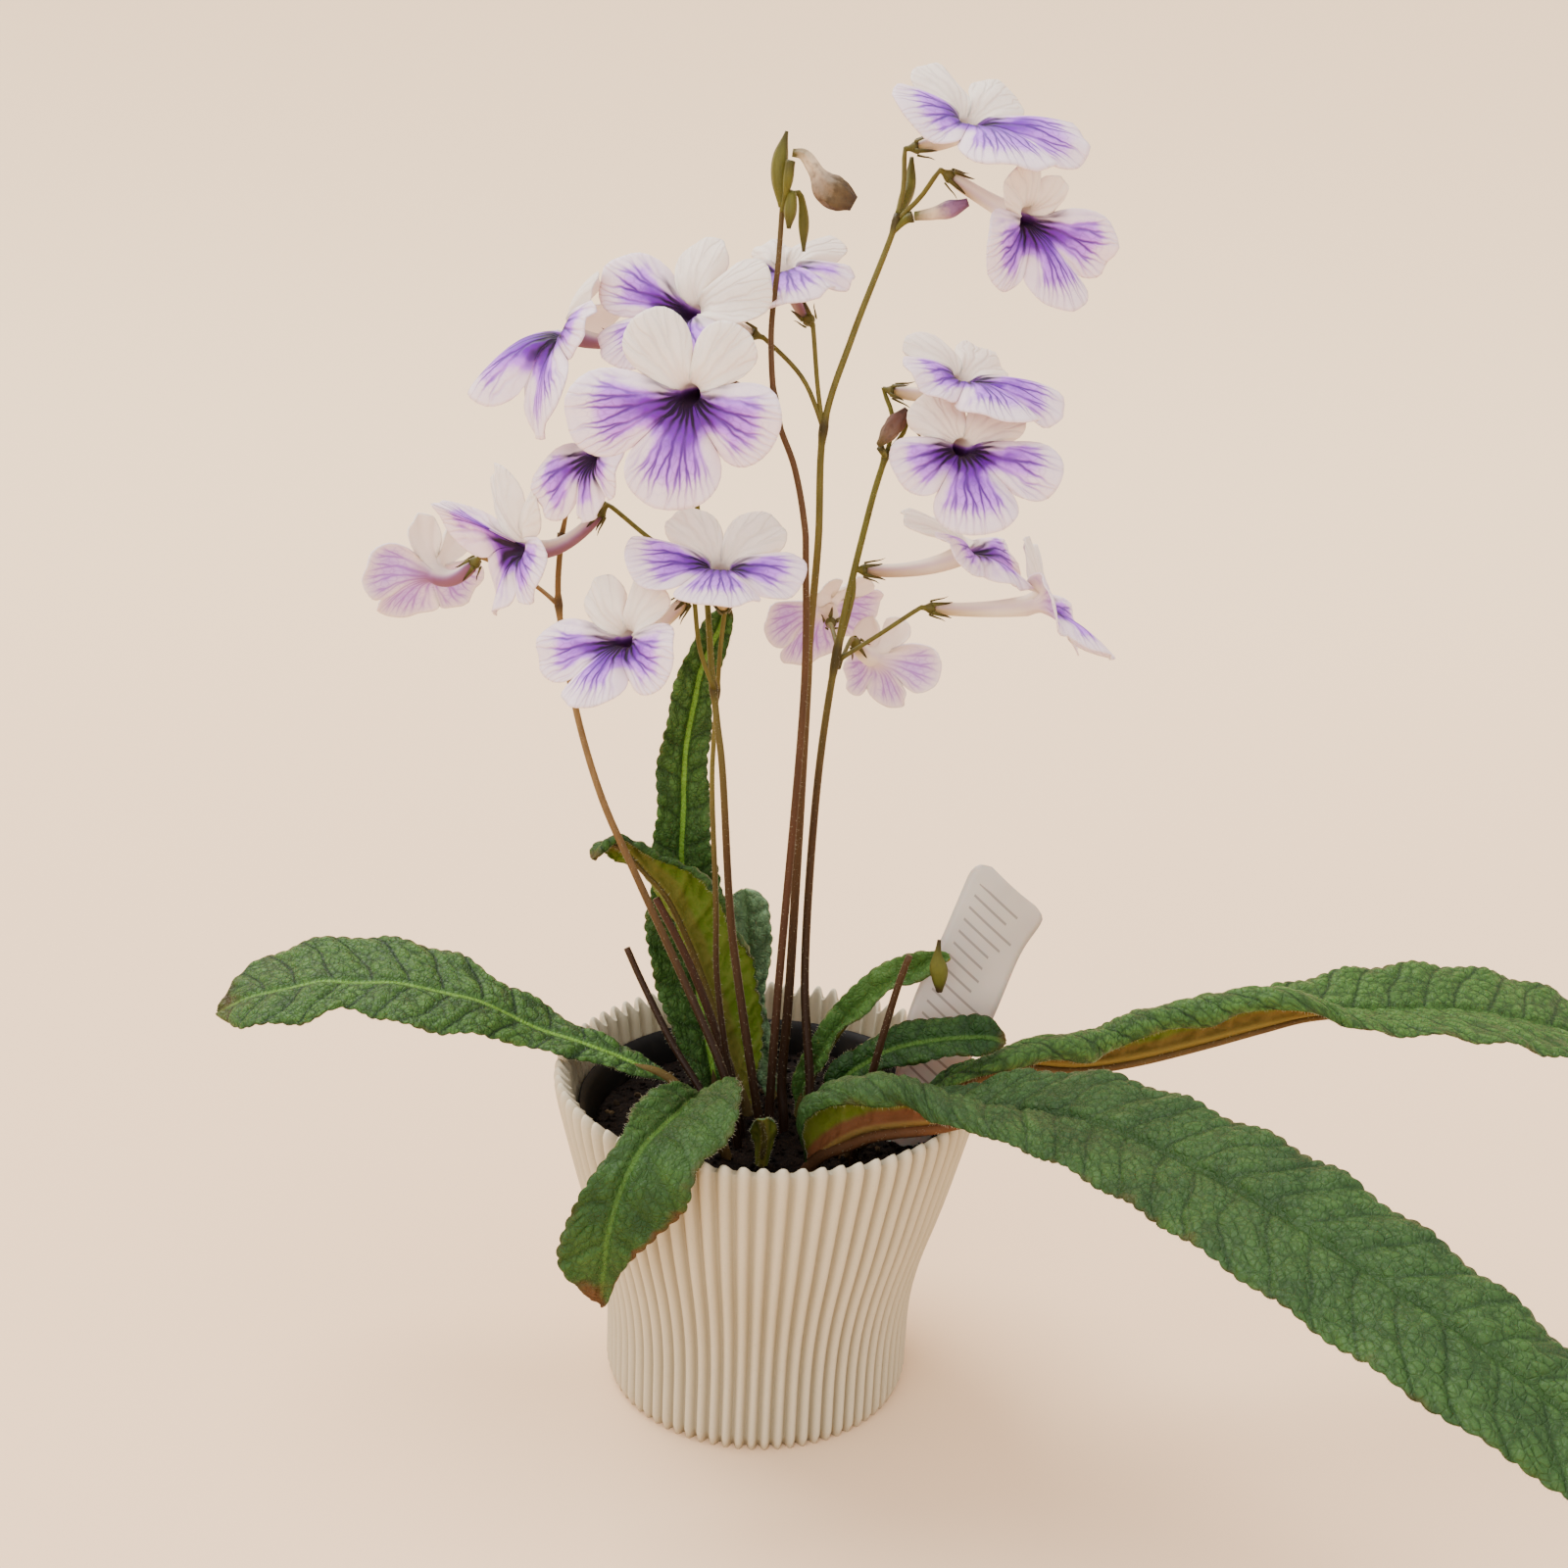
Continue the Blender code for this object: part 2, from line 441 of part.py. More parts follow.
def build_pot():
    """The cover pot: round ribs side by side, a scalloped rim and the ribs again inside."""
    count = POT_RIBS * 2
    rings = []
    for z, crest in POT_PROFILE:
        pitch = 2 * math.pi * crest / POT_RIBS
        rings.append([(crest - (GROOVE * pitch if k % 2 else 0), z) for k in range(count)])
    crest = POT_PROFILE[-1][1]
    pitch = 2 * math.pi * crest / POT_RIBS
    rings.append([(crest - pitch / 2, POT_CUSP if k % 2 else POT_RIM) for k in range(count)])
    for z in POT_INNER:
        crest = profile_radius(POT_PROFILE, z)
        pitch = 2 * math.pi * crest / POT_RIBS
        rings.append([(crest - (0.72 if k % 2 else WALL) * pitch, z) for k in range(count)])
    z, r = POT_FLOOR
    rings.append([(r + (1.0 if k % 2 else 0.0), z) for k in range(count)])
    verts = []
    for ring in rings:
        for k, (r, z) in enumerate(ring):
            w = 2 * math.pi * k / count
            verts.append((r * math.sin(w), -r * math.cos(w), z))
    faces = [tuple(range(count)), tuple(range(len(verts) - count, len(verts)))]
    for i in range(len(rings) - 1):
        for k in range(count):
            n = (k + 1) % count
            faces.append((i * count + k, i * count + n, (i + 1) * count + n, (i + 1) * count + k))
    finish(mesh_from("pot", verts, faces), "pot", "glazed_clay")


def lathe(name, profile, sides):
    """A closed turned shape from (height, radius) pairs, capped at both ends."""
    verts = []
    for z, r in profile:
        for k in range(sides):
            w = 2 * math.pi * k / sides
            verts.append((r * math.sin(w), -r * math.cos(w), z))
    faces = [tuple(range(sides)), tuple(range(len(verts) - sides, len(verts)))]
    for i in range(len(profile) - 1):
        for k in range(sides):
            n = (k + 1) % sides
            faces.append((i * sides + k, i * sides + n, (i + 1) * sides + n, (i + 1) * sides + k))
    return mesh_from(name, verts, faces)


def build_liner():
    """The thin black pot the plant was grown in."""
    inner = [(84, 52.3 - LINER_WALL), (82.4, 50.1), (14, 34 - LINER_WALL),
             (LINER_BASE + LINER_WALL, 32.5 - LINER_WALL)]
    obj = lathe("inner_pot", list(LINER_PROFILE) + inner, LINER_SIDES)
    finish(obj, "inner_pot", "black_plastic", smooth=True)


def foot_cutters():
    """A plain hole's cutter for every foot that stands in the soil."""
    feet = []
    for spec in LEAVES.values():
        feet.append((Vector(spec["line"][0]), Vector(spec["line"][1]), PETIOLE_FOOT))
    for spec in STEMS.values():
        line = smooth_line(spec["line"], stem_rings(spec["line"]))
        feet.append((line[0][0], line[1][0], spec["radii"][0]))
    cutters = []
    for low, high, r in feet:
        along = (high - low).normalized()
        wide = (r + GAP) / math.cos(math.pi / 6)
        path = (low - along * 0.45, high + along * 2)
        cutters.append(mesh_from("cut", *tube_mesh(path, (wide, wide), 6)))
    return cutters


def build_soil():
    """The soil, crumbled on top, with a plain hole for every foot and a slot for the tag."""
    ring = []
    for z, inset in SOIL_SIDE:
        ring.append((z, profile_radius(LINER_PROFILE, z) - LINER_WALL + inset))
    ring[0] = (7.45, 32.5 - LINER_WALL - 0.35)
    profile = list(ring)
    edge = ring[-1][1]
    for share, z in SOIL_RINGS:
        profile.append((z, edge * share))
    sides = LINER_SIDES
    verts = []
    for i, (z, r) in enumerate(profile):
        for k in range(sides):
            w = 2 * math.pi * k / sides
            rise = 0.0
            if i > 1:
                rise = 1.0 * math.sin(3.7 * k + 5.3 * i) * math.cos(1.9 * k - 2.2 * i)
            verts.append((r * math.sin(w), -r * math.cos(w), z + rise))
    faces = [tuple(range(sides)), tuple(range(len(verts) - sides, len(verts)))]
    for i in range(len(profile) - 1):
        for k in range(sides):
            n = (k + 1) % sides
            faces.append((i * sides + k, i * sides + n, (i + 1) * sides + n, (i + 1) * sides + k))
    obj = mesh_from("soil", verts, faces)
    cutters = foot_cutters()
    cutters.append(tag_plate("cut", TAG_THICK + 2 * GAP, GAP))
    boolean(obj, cutters, "DIFFERENCE")
    finish(obj, "soil", "soil")


def tag_plate(name, thick, grow=0.0):
    """The flat tag, leaning back, grown evenly when it cuts its own slot."""
    pts = [Vector((x, 0, z)) for x, z in TAG_OUTLINE]
    mid = sum(pts, Vector()) / len(pts)
    flat = []
    for i, p in enumerate(pts):
        before = (p - pts[i - 1]).normalized()
        after = (pts[(i + 1) % len(pts)] - p).normalized()
        out = (before + after).normalized().cross(Vector((0, 1, 0)))
        if out.dot(p - mid) < 0:
            out = -out
        flat.append(p + out * grow * 1.4)
    verts = []
    for side in (-0.5, 0.5):
        for p in flat:
            y = TAG_FOOT_Y + (p.z - 64) * TAG_LEAN + side * thick
            verts.append((p.x, y, p.z))
    n = len(flat)
    faces = [tuple(range(n)), tuple(range(n, 2 * n))]
    for k in range(n):
        m = (k + 1) % n
        faces.append((k, m, n + m, n + k))
    return mesh_from(name, verts, faces)


def facing(spec, place):
    """The way a leaf's upper side looks, which may turn between its base and its tip."""
    face = spec["face"]
    if isinstance(face[0], tuple):
        return Vector(face[0]).lerp(Vector(face[1]), place / (len(spec["line"]) - 1))
    return Vector(face)


def half_arc(u, lift, curl, power):
    """How far out and how high a half blade is at a share of its width, and its slope there."""
    along = 0.0
    rise = 0.0
    for k in range(16):
        a = lift + curl * (u * (k + 0.5) / 16) ** power
        along += math.cos(a) * u / 16
        rise += math.sin(a) * u / 16
    return along, rise, lift + curl * u ** power


def leaf_grid(spec, rows):
    """A blade's middle surface, row by row from base to tip: points with their normals."""
    line = smooth_line(spec["line"], rows, spec["start"])
    dirs = tangents([p for p, place in line])
    sheet = []
    for i, ((p, place), t) in enumerate(zip(line, dirs)):
        face = facing(spec, place)
        up = (face - face.dot(t) * t).normalized()
        side = t.cross(up)
        row = []
        for j, c in enumerate(spec.get("columns", LEAF_COLUMNS)):
            half = "right" if c > 0 else "left"
            sign = 1 if c > 0 else -1
            u = abs(c)
            width = value_at(spec[half], place)
            if 0 < i < rows - 1:
                width *= 1.0 + 0.04 * (1 if i % 2 else -1)
            lift = math.radians(value_at(spec["lift_" + half], place))
            curl = math.radians(value_at(spec["curl_" + half], place))
            power = value_at(spec.get("fold_" + half, 1), place)
            along, rise, turn = half_arc(u, lift, curl, power)
            if c == 0:
                turn = 0.0
            normal = up * math.cos(turn) - side * (sign * math.sin(turn))
            quilt = 0.0
            if 0.3 < u < 0.9:
                quilt = 0.45 if (i + j) % 2 else -0.3
            elif u == 1.0:
                quilt = 0.6 * math.sin(1.9 * i + j)
            q = p + side * (sign * width * along) + up * (width * rise) + normal * quilt
            row.append((q, normal))
        sheet.append(row)
    return sheet, dirs[0].cross((facing(spec, line[0][1])))


def build_leaf(name, spec):
    """A leaf as one loft: round stalk, then waved blade, quilted, with a midrib underneath."""
    rib0, rib1 = spec["rib"]
    columns = spec.get("columns", LEAF_COLUMNS)
    rows = spec["rows"]
    sheet, side = leaf_grid(spec, rows)
    base = int(math.ceil(spec["start"]))
    points = [Vector(p) for p in spec["line"][:base]]
    nodes = points + [sheet[0][columns.index(0)][0]]
    loops = []
    for k in range(base - 1, -1, -1):
        t = (nodes[k + 1] - nodes[max(k - 1, 0)]).normalized()
        side = (side - side.dot(t) * t).normalized()
        up = side.cross(t)
        r = PETIOLE_FOOT if k < 2 else rib0 * 0.95
        upper = []
        lower = []
        for c in columns:
            w = math.copysign(math.radians(76.5) * abs(c) ** 0.6, c)
            upper.append(points[k] + side * (r * math.sin(w)) + up * (r * math.cos(w)))
            lower.append(points[k] + side * (r * math.sin(w)) - up * (r * math.cos(w)))
        loops.insert(0, upper + lower[::-1])
    for i, row in enumerate(sheet):
        share = i / (rows - 1)
        upper = []
        lower = []
        for (q, normal), c in zip(row, columns):
            upper.append(q + normal * (BLADE / 2))
            depth = BLADE / 2
            if c == 0:
                depth += (rib0 + (rib1 - rib0) * share ** 0.7) * (1.0 if i else 0.8)
            lower.append(q - normal * depth)
        loops.append(upper + lower[::-1])
    around = len(loops[0])
    verts = [q for loop in loops for q in loop]
    faces = [tuple(range(around)), tuple(range(len(verts) - around, len(verts)))]
    for i in range(len(loops) - 1):
        for k in range(around):
            a = i * around + k
            b = i * around + (k + 1) % around
            c = b + around
            d = a + around
            mirrored = min(k, around - 2 - k) if k < around - 1 else 0
            if ((i + mirrored) % 2 == 1) == (k < around / 2):
                faces += [(a, b, c), (a, c, d)]
            else:
                faces += [(a, b, d), (b, c, d)]
    finish(mesh_from(name, verts, faces), name, "leaf", smooth=True)


def flower_frame(turn):
    """Facing, up and right directions of a flower."""
    h, p, r = (math.radians(a) for a in turn)
    f = Vector((math.sin(h) * math.cos(p), -math.cos(h) * math.cos(p), math.sin(p)))
    u0 = Vector((-math.sin(h) * math.sin(p), math.cos(h) * math.sin(p), math.cos(p)))
    r0 = u0.cross(f)
    u = u0 * math.cos(r) + r0 * math.sin(r)
    return f, u, u.cross(f)


def flower_tube_line(name):
    """The line of a flower's tube from its seat in the calyx to its throat."""
    throat, calyx, turn = (Vector(v) for v in FLOWERS[name][:3])
    f, u, r = flower_frame(turn)
    knee = throat - f * (0.45 * (throat - calyx).length)
    lead = (knee - calyx).normalized()
    return calyx, lead, knee, throat


def build_flower(name):
    """A corolla: a narrow tube that widens into a five-lobed face."""
    turn, bends, angles, lengths = FLOWERS[name][2:]
    f, u, r = flower_frame(turn)
    calyx, lead, knee, throat = flower_tube_line(name)
    bend = [math.radians(b) for b in bends]
    lobes = [math.radians(a + d) for a, d in zip(LOBE_ANGLES, angles)]
    order = (0, 1, 2, 3, 4)
    lobes[4] += 2 * math.pi
    notches = []
    for k in order:
        after = lobes[(k + 1) % 5]
        if k == 4:
            after += 2 * math.pi
        notches.append((lobes[k] + after) / 2 if k < 4 else (lobes[4] + after) / 2)
    ring_angles = []
    for k in order:
        ring_angles += [lobes[k], notches[k]]
    seat = calyx + lead * 0.35
    verts = []
    for s, rad in ((0.0, 1.0), (0.5, 2.3), (0.85, 4.0)):
        p = seat * (1 - s) ** 2 + knee * (2 * s * (1 - s)) + throat * s * s
        t = (knee - seat) * (1 - s) + (throat - knee) * s
        t.normalize()
        a = (u - u.dot(t) * t).normalized()
        b = a.cross(t)
        for w in ring_angles:
            verts.append(p + a * (rad * math.cos(w)) + b * (rad * math.sin(w)))
    for k in order:
        nxt = (k + 1) % 5
        length = lengths[k]
        low = 4.4 + 0.33 * (length - 4.4)
        d = u * math.cos(lobes[k]) + r * math.sin(lobes[k])
        verts.append(throat + (d * math.cos(bend[k]) + f * math.sin(bend[k])) * low)
        low = 4.4 + 0.28 * ((lengths[k] + lengths[nxt]) / 2 - 4.4)
        d = u * math.cos(notches[k]) + r * math.sin(notches[k])
        tilt = (bend[k] + bend[nxt]) / 2
        verts.append(throat + (d * math.cos(tilt) + f * math.sin(tilt)) * low)
    faces = [tuple(range(10))]
    for i in range(3):
        for k in range(10):
            n = (k + 1) % 10
            faces.append((i * 10 + k, i * 10 + n, (i + 1) * 10 + n))
            faces.append((i * 10 + k, (i + 1) * 10 + n, (i + 1) * 10 + k))
    base = 30
    for k in order:
        length = lengths[k]
        before = lobes[k] - notches[k - 1] if k else lobes[0] + 2 * math.pi - notches[4]
        room = min(before, notches[k] - lobes[k])
        half = min(9.3, 0.4 * length, 0.62 * length * math.tan(room) * 0.93)
        d = u * math.cos(lobes[k]) + r * math.sin(lobes[k])
        out = d * math.cos(bend[k]) + f * math.sin(bend[k])
        side = r * math.cos(lobes[k]) - u * math.sin(lobes[k])
        start = len(verts)
        for share, spread in ((0.62, 1.0), (0.93, 0.6)):
            for w in (-1, 0, 1):
                reach = length if (share > 0.9 and w == 0) else length * share
                lift = 0.6 if w == 0 else 0.0
                verts.append(throat + out * reach + side * (half * spread * w) + f * lift)
        centre = base + 2 * k
        left = base + (2 * k - 1) % 10
        right = base + 2 * k + 1
        s = start
        faces += [(left, centre, s), (centre, s + 1, s), (centre, right, s + 2),
                  (centre, s + 2, s + 1)]
        faces += [(s, s + 1, s + 3), (s + 1, s + 4, s + 3), (s + 1, s + 2, s + 5),
                  (s + 1, s + 5, s + 4)]
    obj = mesh_from(name, verts, faces)
    thicken(obj, PETAL)
    finish(obj, name, "petal", smooth=True)


def flower_stalk(points, flower):
    """A side stalk that ends in a calyx: a small cup with five pointed sepals."""
    calyx, lead, knee, throat = flower_tube_line(flower)
    points = points + (tuple(calyx - lead * 3.2),)
    line = [p for p, place in smooth_line(points, max(4, len(points)))]
    line += [calyx - lead * 1.3, calyx, calyx]
    radii = [0.85] * (len(line) - 4) + [0.95, 1.9, 2.3, 1.9]
    verts, faces = tube_mesh(line, radii, 5, lead)
    rings = len(line)
    outer = (rings - 2) * 5
    inner = (rings - 1) * 5
    faces = [f for f in faces if not (len(f) == 4 and min(f) >= outer)]
    mid = calyx + lead * 4.2
    for k in range(5):
        n = (k + 1) % 5
        spread = (verts[outer + k] + verts[outer + n]) / 2 - calyx
        tip = len(verts)
        verts.append(mid + spread.normalized() * 2.8)
        faces += [(outer + k, outer + n, tip), (inner + n, inner + k, tip),
                  (inner + k, outer + k, tip), (outer + n, inner + n, tip)]
    return mesh_from("stalk", verts, faces)


def build_stem(name, spec):
    """A flower stem with its side stalks, calyces and green buds, as one solid."""
    r0, r1 = spec["radii"]
    line = [p for p, place in smooth_line(spec["line"], stem_rings(spec["line"]))]
    last = len(line) - 1
    radii = [r0 + (r1 - r0) * i / last for i in range(last + 1)]
    host = mesh_from(name, *tube_mesh(line, radii, 6))
    parts = [flower_stalk(points, flower) for points, flower in spec.get("stalks", ())]
    for bud in spec.get("buds", ()):
        parts.append(mesh_from("bud", *tube_mesh(bud[0::2], bud[1::2], 5)))
    if parts:
        boolean(host, parts, "UNION")
    finish(host, name, "stem", smooth=True)


def build_bud(name, slot, table):
    """A loose bud or withered flower: a spindle seated just off its stalk."""
    finish(mesh_from(name, *tube_mesh(table[0::2], table[1::2], 8)), name, slot, smooth=True)


def main():
    for obj in list(bpy.data.objects):
        bpy.data.objects.remove(obj)
    build_pot()
    build_liner()
    build_soil()
    finish(tag_plate("tag", TAG_THICK), "tag", "tag")
    for name, spec in LEAVES.items():
        build_leaf(name, spec)
    for name, spec in STEMS.items():
        build_stem(name, spec)
    for name in FLOWERS:
        build_flower(name)
    for name, (slot, table) in BUDS.items():
        build_bud(name, slot, table)


main()
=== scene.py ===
"""The looks of a cape primrose in its ribbed pot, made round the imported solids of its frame."""
import math
import random

import bmesh
import bpy
import numpy as np
from mathutils import Matrix, Vector, noise


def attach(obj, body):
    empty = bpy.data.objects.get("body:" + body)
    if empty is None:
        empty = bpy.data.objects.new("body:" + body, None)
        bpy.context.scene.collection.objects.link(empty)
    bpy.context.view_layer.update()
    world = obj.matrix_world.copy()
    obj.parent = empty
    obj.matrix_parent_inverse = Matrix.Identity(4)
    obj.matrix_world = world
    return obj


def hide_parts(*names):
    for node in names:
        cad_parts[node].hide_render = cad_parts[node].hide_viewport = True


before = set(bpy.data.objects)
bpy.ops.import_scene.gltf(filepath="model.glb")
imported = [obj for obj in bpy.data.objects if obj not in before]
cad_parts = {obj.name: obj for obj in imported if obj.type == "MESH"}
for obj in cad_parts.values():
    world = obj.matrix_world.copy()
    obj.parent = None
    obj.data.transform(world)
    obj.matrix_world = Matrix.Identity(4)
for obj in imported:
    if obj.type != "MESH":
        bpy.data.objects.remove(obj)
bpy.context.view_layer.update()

bl_info = {
    "name": "Cape primrose",
    "version": (1, 0, 0),
    "blender": (4, 5, 0),
    "location": "View3D > Sidebar > Cape primrose",
    "description": "A cape primrose in a ribbed pot, piece by piece",
    "category": "Add Mesh",
}

MM = 0.001      # every table below is in millimetres, the meshes are in metres

POT_RIBS = 74
POT_PROFILE = ((0, 43.5), (25, 43.5), (40, 46), (60, 52), (92, 59.8))
POT_RIM = 94.0
POT_FLOOR = 6.0
POT_WALL = 2.3
RIB_DEPTH = 2.3
RIM_ROUND = 3.0
FOOT_ROUND = 1.2
SOIL_TOP = 75.4

TAG_LEFT = ((37, 66), (33.8, 76), (34.6, 89.7), (36, 98.5), (37.6, 109.4), (41.1, 120.3),
            (45.2, 129.8), (51.8, 147.5), (53, 150.4), (55.5, 152.4), (58.8, 151.8))
TAG_RIGHT = ((40, 66), (43.7, 71.5), (49.7, 85.5), (54.6, 96.5), (61.1, 110), (67.7, 128),
             (72.8, 136.7), (73.2, 139.3), (71.2, 141.7))
TAG_FOOT_Y = -9.0      # the tag leans away from the viewer as it rises
TAG_LEAN = 0.20

# Leaves: the midrib's points, the way its upper side faces, the midrib point where the blade
# starts and the radii of its rib at foot and tip. Then for each half, right and left of the way
# the leaf grows and seen from above, come its width, its lift from flat and its curl in degrees,
# and fold, which keeps the curl to the edge; one value a midrib point or one for all.
LEAVES = {
    "leaf_left": dict(
        line=((-13, -15, 65), (-17, -11, 78), (-25, -5, 89), (-36, -3, 94), (-46, -1, 97),
              (-55, 1, 99), (-65, 3, 101), (-80, 5, 107), (-91, 6, 109), (-105, 7, 111),
              (-116, 8, 110), (-126, 8, 110), (-137, 8, 107), (-147, 8, 104), (-156, 8, 99)),
        face=(0, 0, 1), start=3.0, rib=(2.6, 0.7),
        right=(0, 0, 3, 4.2, 4.8, 5.5, 9.2, 10.8, 16.2, 18, 20, 20, 19, 17, 3),
        left=(0, 0, 4, 6, 5, 8, 8, 13.8, 15.8, 15.2, 11.2, 16.5, 14.8, 13, 3.5),
        lift_right=14, lift_left=-14, curl_right=6, curl_left=-10),
    "leaf_tall": dict(
        line=((-14, 15, 65), (-15.5, 19, 79), (-20.3, 27, 97.5), (-24.5, 31, 120.5),
              (-27.5, 33, 141.5), (-27.5, 34, 154.5), (-27.5, 36, 172.5), (-25.5, 37, 186.5),
              (-23.5, 38, 197.5), (-18.3, 38, 210.5), (-17.3, 37, 216.5)),
        face=(0, -1, 0), start=1.1, rib=(2.4, 0.7),
        right=(3, 6, 11, 13, 11, 9, 7.5, 6, 5, 4, 1.5),
        left=(3, 6, 11, 13.5, 9, 8.5, 8, 7, 6.6, 4.5, 1.5),
        lift_right=20, lift_left=20, curl_right=8, curl_left=8),
    "leaf_curled": dict(
        line=((-3, 4, 65), (-6, 6, 79), (-11, 11, 89), (-16, 14, 104), (-23, 15, 122),
              (-30, 14, 137), (-37, 12, 146), (-41, 11, 151), (-45, 9.5, 154.5), (-48.5, 6, 154.5),
              (-50, 2.5, 151.5)),
        face=((0, 1, 0), (0, 1, 0), (0, 1, 0), (0, 1, 0), (0, 1, 0), (0, 1, 0), (0, 1, 0.2),
              (0, 1, 0.5), (-0.3, 0.8, 0.8), (-0.6, 0, 1), (-0.9, -0.6, 0.6)), start=1.6, rib=(2.6, 0.8),
        right=(3, 3, 4, 9, 13, 13, 10, 7, 5, 4, 2.5),
        left=(3, 5, 10, 14, 17, 15.5, 9, 6.5, 5, 4, 2.5),
        lift_right=(58, 58, 58, 58, 58, 58, 50, 30, 10, 0, 0), lift_left=12,
        curl_right=(25, 25, 25, 25, 25, 25, 0, -20, -40, -60, -60),
        curl_left=(0, 0, 0, -30, -150, -190, -190, -170, -120, -90, -60),
        fold_left=(4, 4, 4, 4, 5, 5, 4, 3, 2, 1, 1)),
    "leaf_back": dict(
        line=((3, 13, 65), (1, 19, 79), (-3.5, 26, 92), (-6, 32, 105), (-8, 36, 119),
              (-9.5, 39, 131)),
        face=(0, -1, 0), start=1.2, rib=(2.3, 0.8),
        right=(3, 3, 3.5, 5, 8.5, 7), left=(3, 4, 6, 8, 9, 6),
        lift_right=18, lift_left=18, curl_right=5, curl_left=5),
    "leaf_front": dict(
        line=((-8, -20, 65), (-11, -20, 78), (-15, -22, 91), (-19, -28, 96.5), (-22, -36, 97.5),
              (-26, -46, 98), (-30, -56, 97.5), (-34, -63, 91), (-37, -67, 80), (-38, -67, 69),
              (-39, -65, 58)),
        face=((0, 0.4, 0.9), (0, -0.9, 0.4)), start=2.6, rib=(2.6, 0.7),
        right=(0, 0, 3, 5, 9, 9, 6, 7.8, 10.8, 11.5, 1.5),
        left=(0, 0, 6, 13, 19, 20, 16.5, 17, 10.8, 4.5, 1.5),
        lift_right=(40, 40, 40, 38, 30, 16, 10, 5, 0, 0, 0),
        lift_left=(45, 45, 45, 45, 35, 22, 12, 5, 0, 0, 0),
        curl_right=-5, curl_left=-5),
    "leaf_right_front": dict(
        line=((7, -22, 65), (14, -27, 80), (25, -31, 91), (43, -37, 98), (56, -44, 105),
              (75, -59, 112), (94, -82, 115), (110, -105, 116), (126, -124, 113),
              (140, -140, 110), (155, -153, 103), (169, -163, 96), (178, -171, 87)),
        face=(0, 0, 1), start=1.5, rib=(3.0, 0.8),
        right=(4, 20, 27, 27, 19, 18, 19, 19.8, 20.2, 20, 17, 13.5, 5),
        left=(3, 6, 9, 12, 15, 17.8, 18, 18.8, 17.8, 15.5, 14.5, 12.5, 4),
        lift_right=(100, 110, 105, 95, 50, 6, -6, -10, -10, -10, -12, -14, -16),
        lift_left=(30, 30, 28, 26, 26, 26, 26, 24, 22, 20, 18, 16, 10),
        curl_right=(-180, -200, -190, -215, -110, -35, -20, -16, -14, -14, -14, -14, -14),
        curl_left=-12, fold_right=(2, 2, 2, 2, 1.5, 1, 1, 1, 1, 1, 1, 1, 1)),
    "leaf_right_back": dict(
        line=((15, -14, 65), (27, -17, 81), (42, -16, 94), (56, -12, 100), (69, -6, 101),
              (86, 0, 98), (102, 4, 99), (120, 7, 103), (139, 10, 108), (154, 15, 110),
              (172, 19, 110), (202, 24, 109), (234, 28, 102), (252, 31, 95), (262, 33, 88)),
        face=(0, 0, 1), start=2.5, rib=(2.8, 0.8),
        right=(0, 0, 5, 12, 20.5, 25, 25.5, 27, 24, 20, 17, 21, 19.5, 12, 3),
        left=(0, 0, 4, 5, 6, 8, 10, 12, 13, 13.5, 17.5, 19.2, 18.5, 13, 3),
        lift_right=(60, 60, 60, 70, 75, 90, 105, 105, 95, 50, 12, 4, 0, -6, -8),
        lift_left=(20, 20, 20, 20, 20, 20, 20, 20, 20, 22, 24, 26, 26, 20, 10),
        curl_right=(-120, -120, -140, -160, -170, -205, -190, -215, -180, -95, -22, -12, -12, -12,
                    -12),
        curl_left=-8, fold_right=(2, 2, 2, 2, 2, 2, 2, 2, 2, 1.5, 1, 1, 1, 1, 1)),
    "leaf_upright": dict(
        line=((9, 3, 65), (9.5, 5, 79), (10.8, 5, 86), (15.3, 4, 97), (21.5, 2, 108.3),
              (30.2, -1, 118.8), (40.3, -4, 126.4), (47.2, -6, 130.9)),
        face=(-0.5, -0.6, 0.6), start=1.6, rib=(2.0, 0.7),
        right=(0, 2.5, 4, 4.5, 5, 5.5, 5, 1.5), left=(0, 2.5, 4, 4.5, 5, 5.5, 5, 1.5),
        lift_right=30, lift_left=30, curl_right=10, curl_left=10),
    "leaf_small": dict(
        line=((14, -5, 65), (16, -6, 79), (20.6, -8, 94), (26.9, -10, 101), (33.1, -12, 106),
              (43.2, -15, 110.5), (55.7, -18, 113.5), (62.7, -19, 113)),
        face=(0, -0.6, 0.8), start=1.6, rib=(2.0, 0.7),
        right=(0, 3, 5, 5.5, 6, 6.5, 6, 2), left=(0, 3, 5, 5.5, 6, 6.5, 6, 2),
        lift_right=12, lift_left=12, curl_right=-14, curl_left=-14),
    "young_leaf": dict(
        line=((-1, -22.5, 65), (-0.5, -24, 79), (0, -25.5, 86), (-1, -27.5, 92)),
        face=(0, 1, 0.4), start=1.3, rib=(1.8, 0.8),
        right=(2, 3, 4, 1.5), left=(2, 3, 4, 1.5),
        lift_right=25, lift_left=25, curl_right=10, curl_left=10),
}

